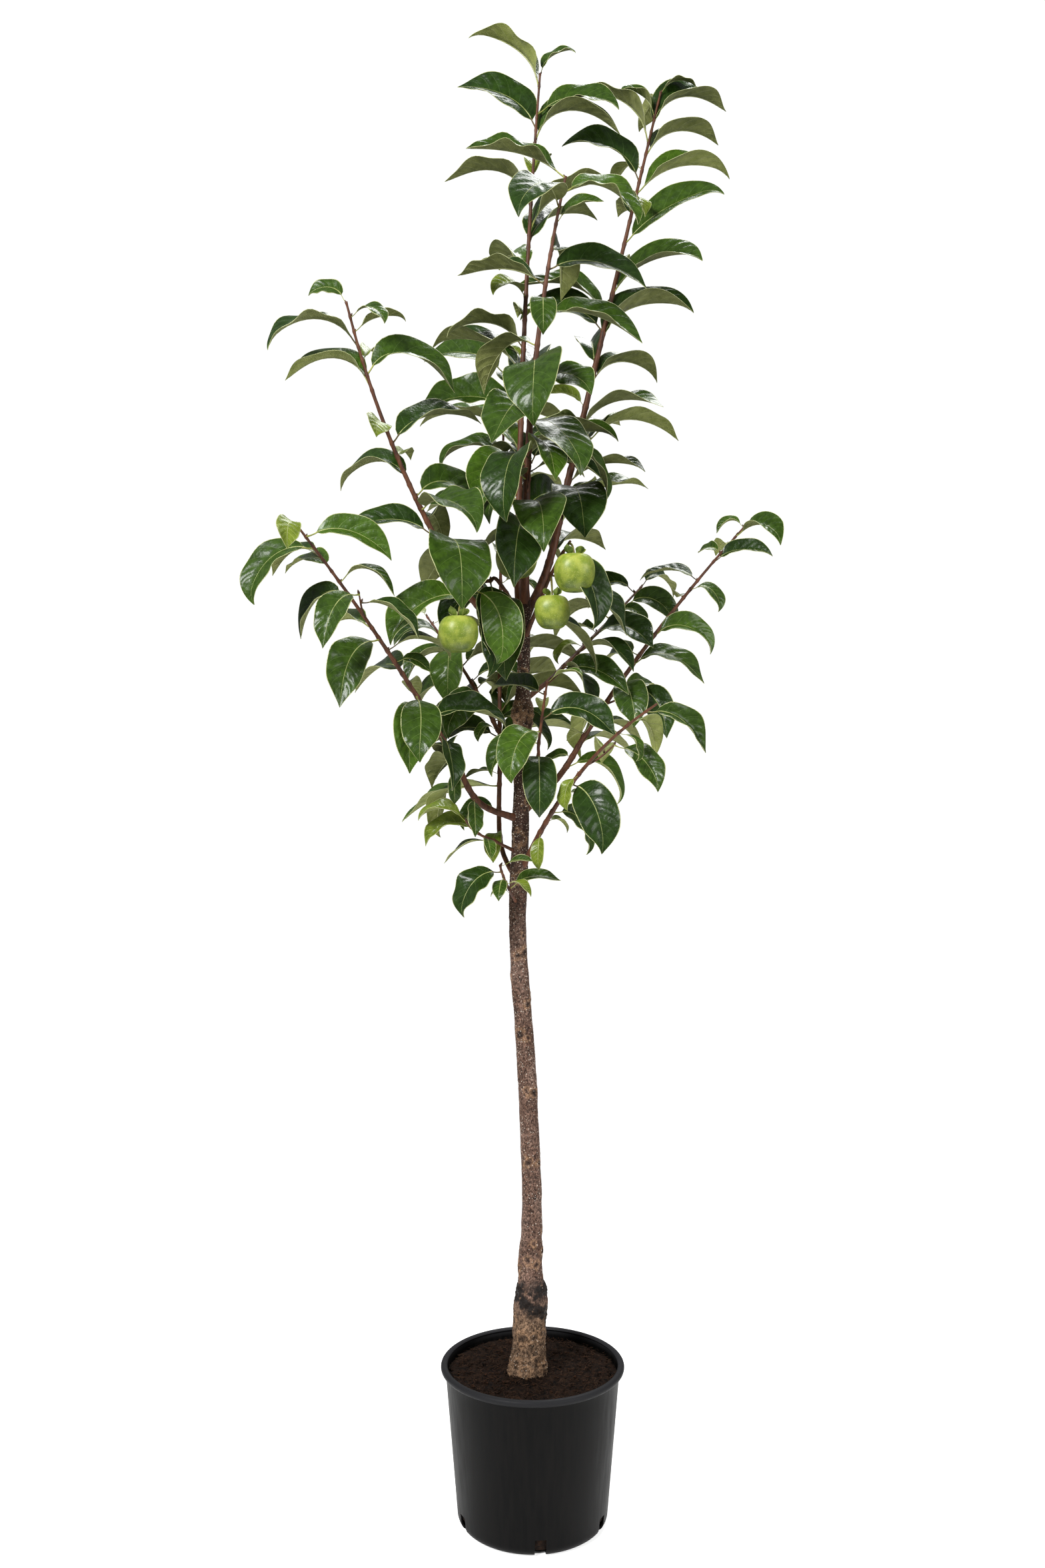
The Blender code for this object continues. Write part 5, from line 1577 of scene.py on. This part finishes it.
def make_fruits():
    """Unripe fruits: squarish globes with four faint furrows, drawn in under an upright leafy calyx.

    At polar angle p and turn a the radius is that of the solid times sin(p)^0.70, less the furrows, where
    cos 4a is lowest, and less a dimple at either pole.
    """
    rows, sides = 40, 64
    polar = np.linspace(0.03, math.pi - 0.03, rows)[:, None]
    turn = round_turn(sides)
    dimple = 1 - 0.14 * bell(polar, 0.42) - 0.05 * bell(math.pi - polar, 0.30)
    globes = []
    lobes = []
    for k, fruit in enumerate(FRUITS):
        lobed = 1 + 0.026 * np.cos(4 * turn + 0.6 + k) * np.sin(polar) ** 2
        reach = fruit.radius * lobed * np.sin(polar) ** 0.70 * (1 + 0.05 * np.cos(polar))
        height = fruit.radius * 0.98 * np.cos(polar) * dimple
        globes.append(round_points(reach, turn, height) + np.array(fruit.centre))
        lobes += calyx_lobes(fruit)
    # Share of painted light on each fruit: full on top and none at the bottom, which is left in painted
    # shade.
    painted_light = np.clip(0.62 + 0.75 * np.cos(polar), 0, 1)
    skins = make_piece("fruit_skins", np.array(globes), flipped(many_grids(rows, sides, len(FRUITS))),
                       fruit_skin_finish(), shoulder=np.broadcast_to(painted_light, (len(FRUITS), rows, sides)))
    upright_lobes = []
    for k, lobe in enumerate(lobes):
        side = (-1) ** k
        upright_lobes.append(lobe._replace(lift=-4, droop=86 - k % 3 * 14, fold=42, roll=side * 14,
                                           sweep=side * 34, length=lobe.length * (0.98 - k % 4 * 0.06),
                                           width=lobe.width * 0.66))
    blades = Blades(upright_lobes, 7)
    calyx = make_piece("fruit_calyx_lobes", *join_grids([upper_faces(blades), lower_faces(blades)]),
                       plain_skin("leafy_calyx", "#4b6322", "#86993f"))
    rims = make_piece("fruit_calyx_rims", *join_grids([margins(blades, 0.6 * MM), under_ribs(blades)]),
                      plain_skin("pale_calyx_rim", "#a9a95c", "#d6d698"))


def main():
    """Grow the tree by the solids' rule and dress each part of it."""
    make_camera()
    make_studio()
    routes, starts, leaves, twigs = grow_tree()
    make_pot()
    make_soil()
    make_trunk()
    stems = make_limbs(routes, starts, leaves, twigs)
    every = [leaf for shoot in SHOOTS for leaf in leaves[shoot.name]]
    make_leaves(every)
    make_buds(every)
    make_fruits()
    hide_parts(*["foliage_" + shoot.name for shoot in SHOOTS])


main()
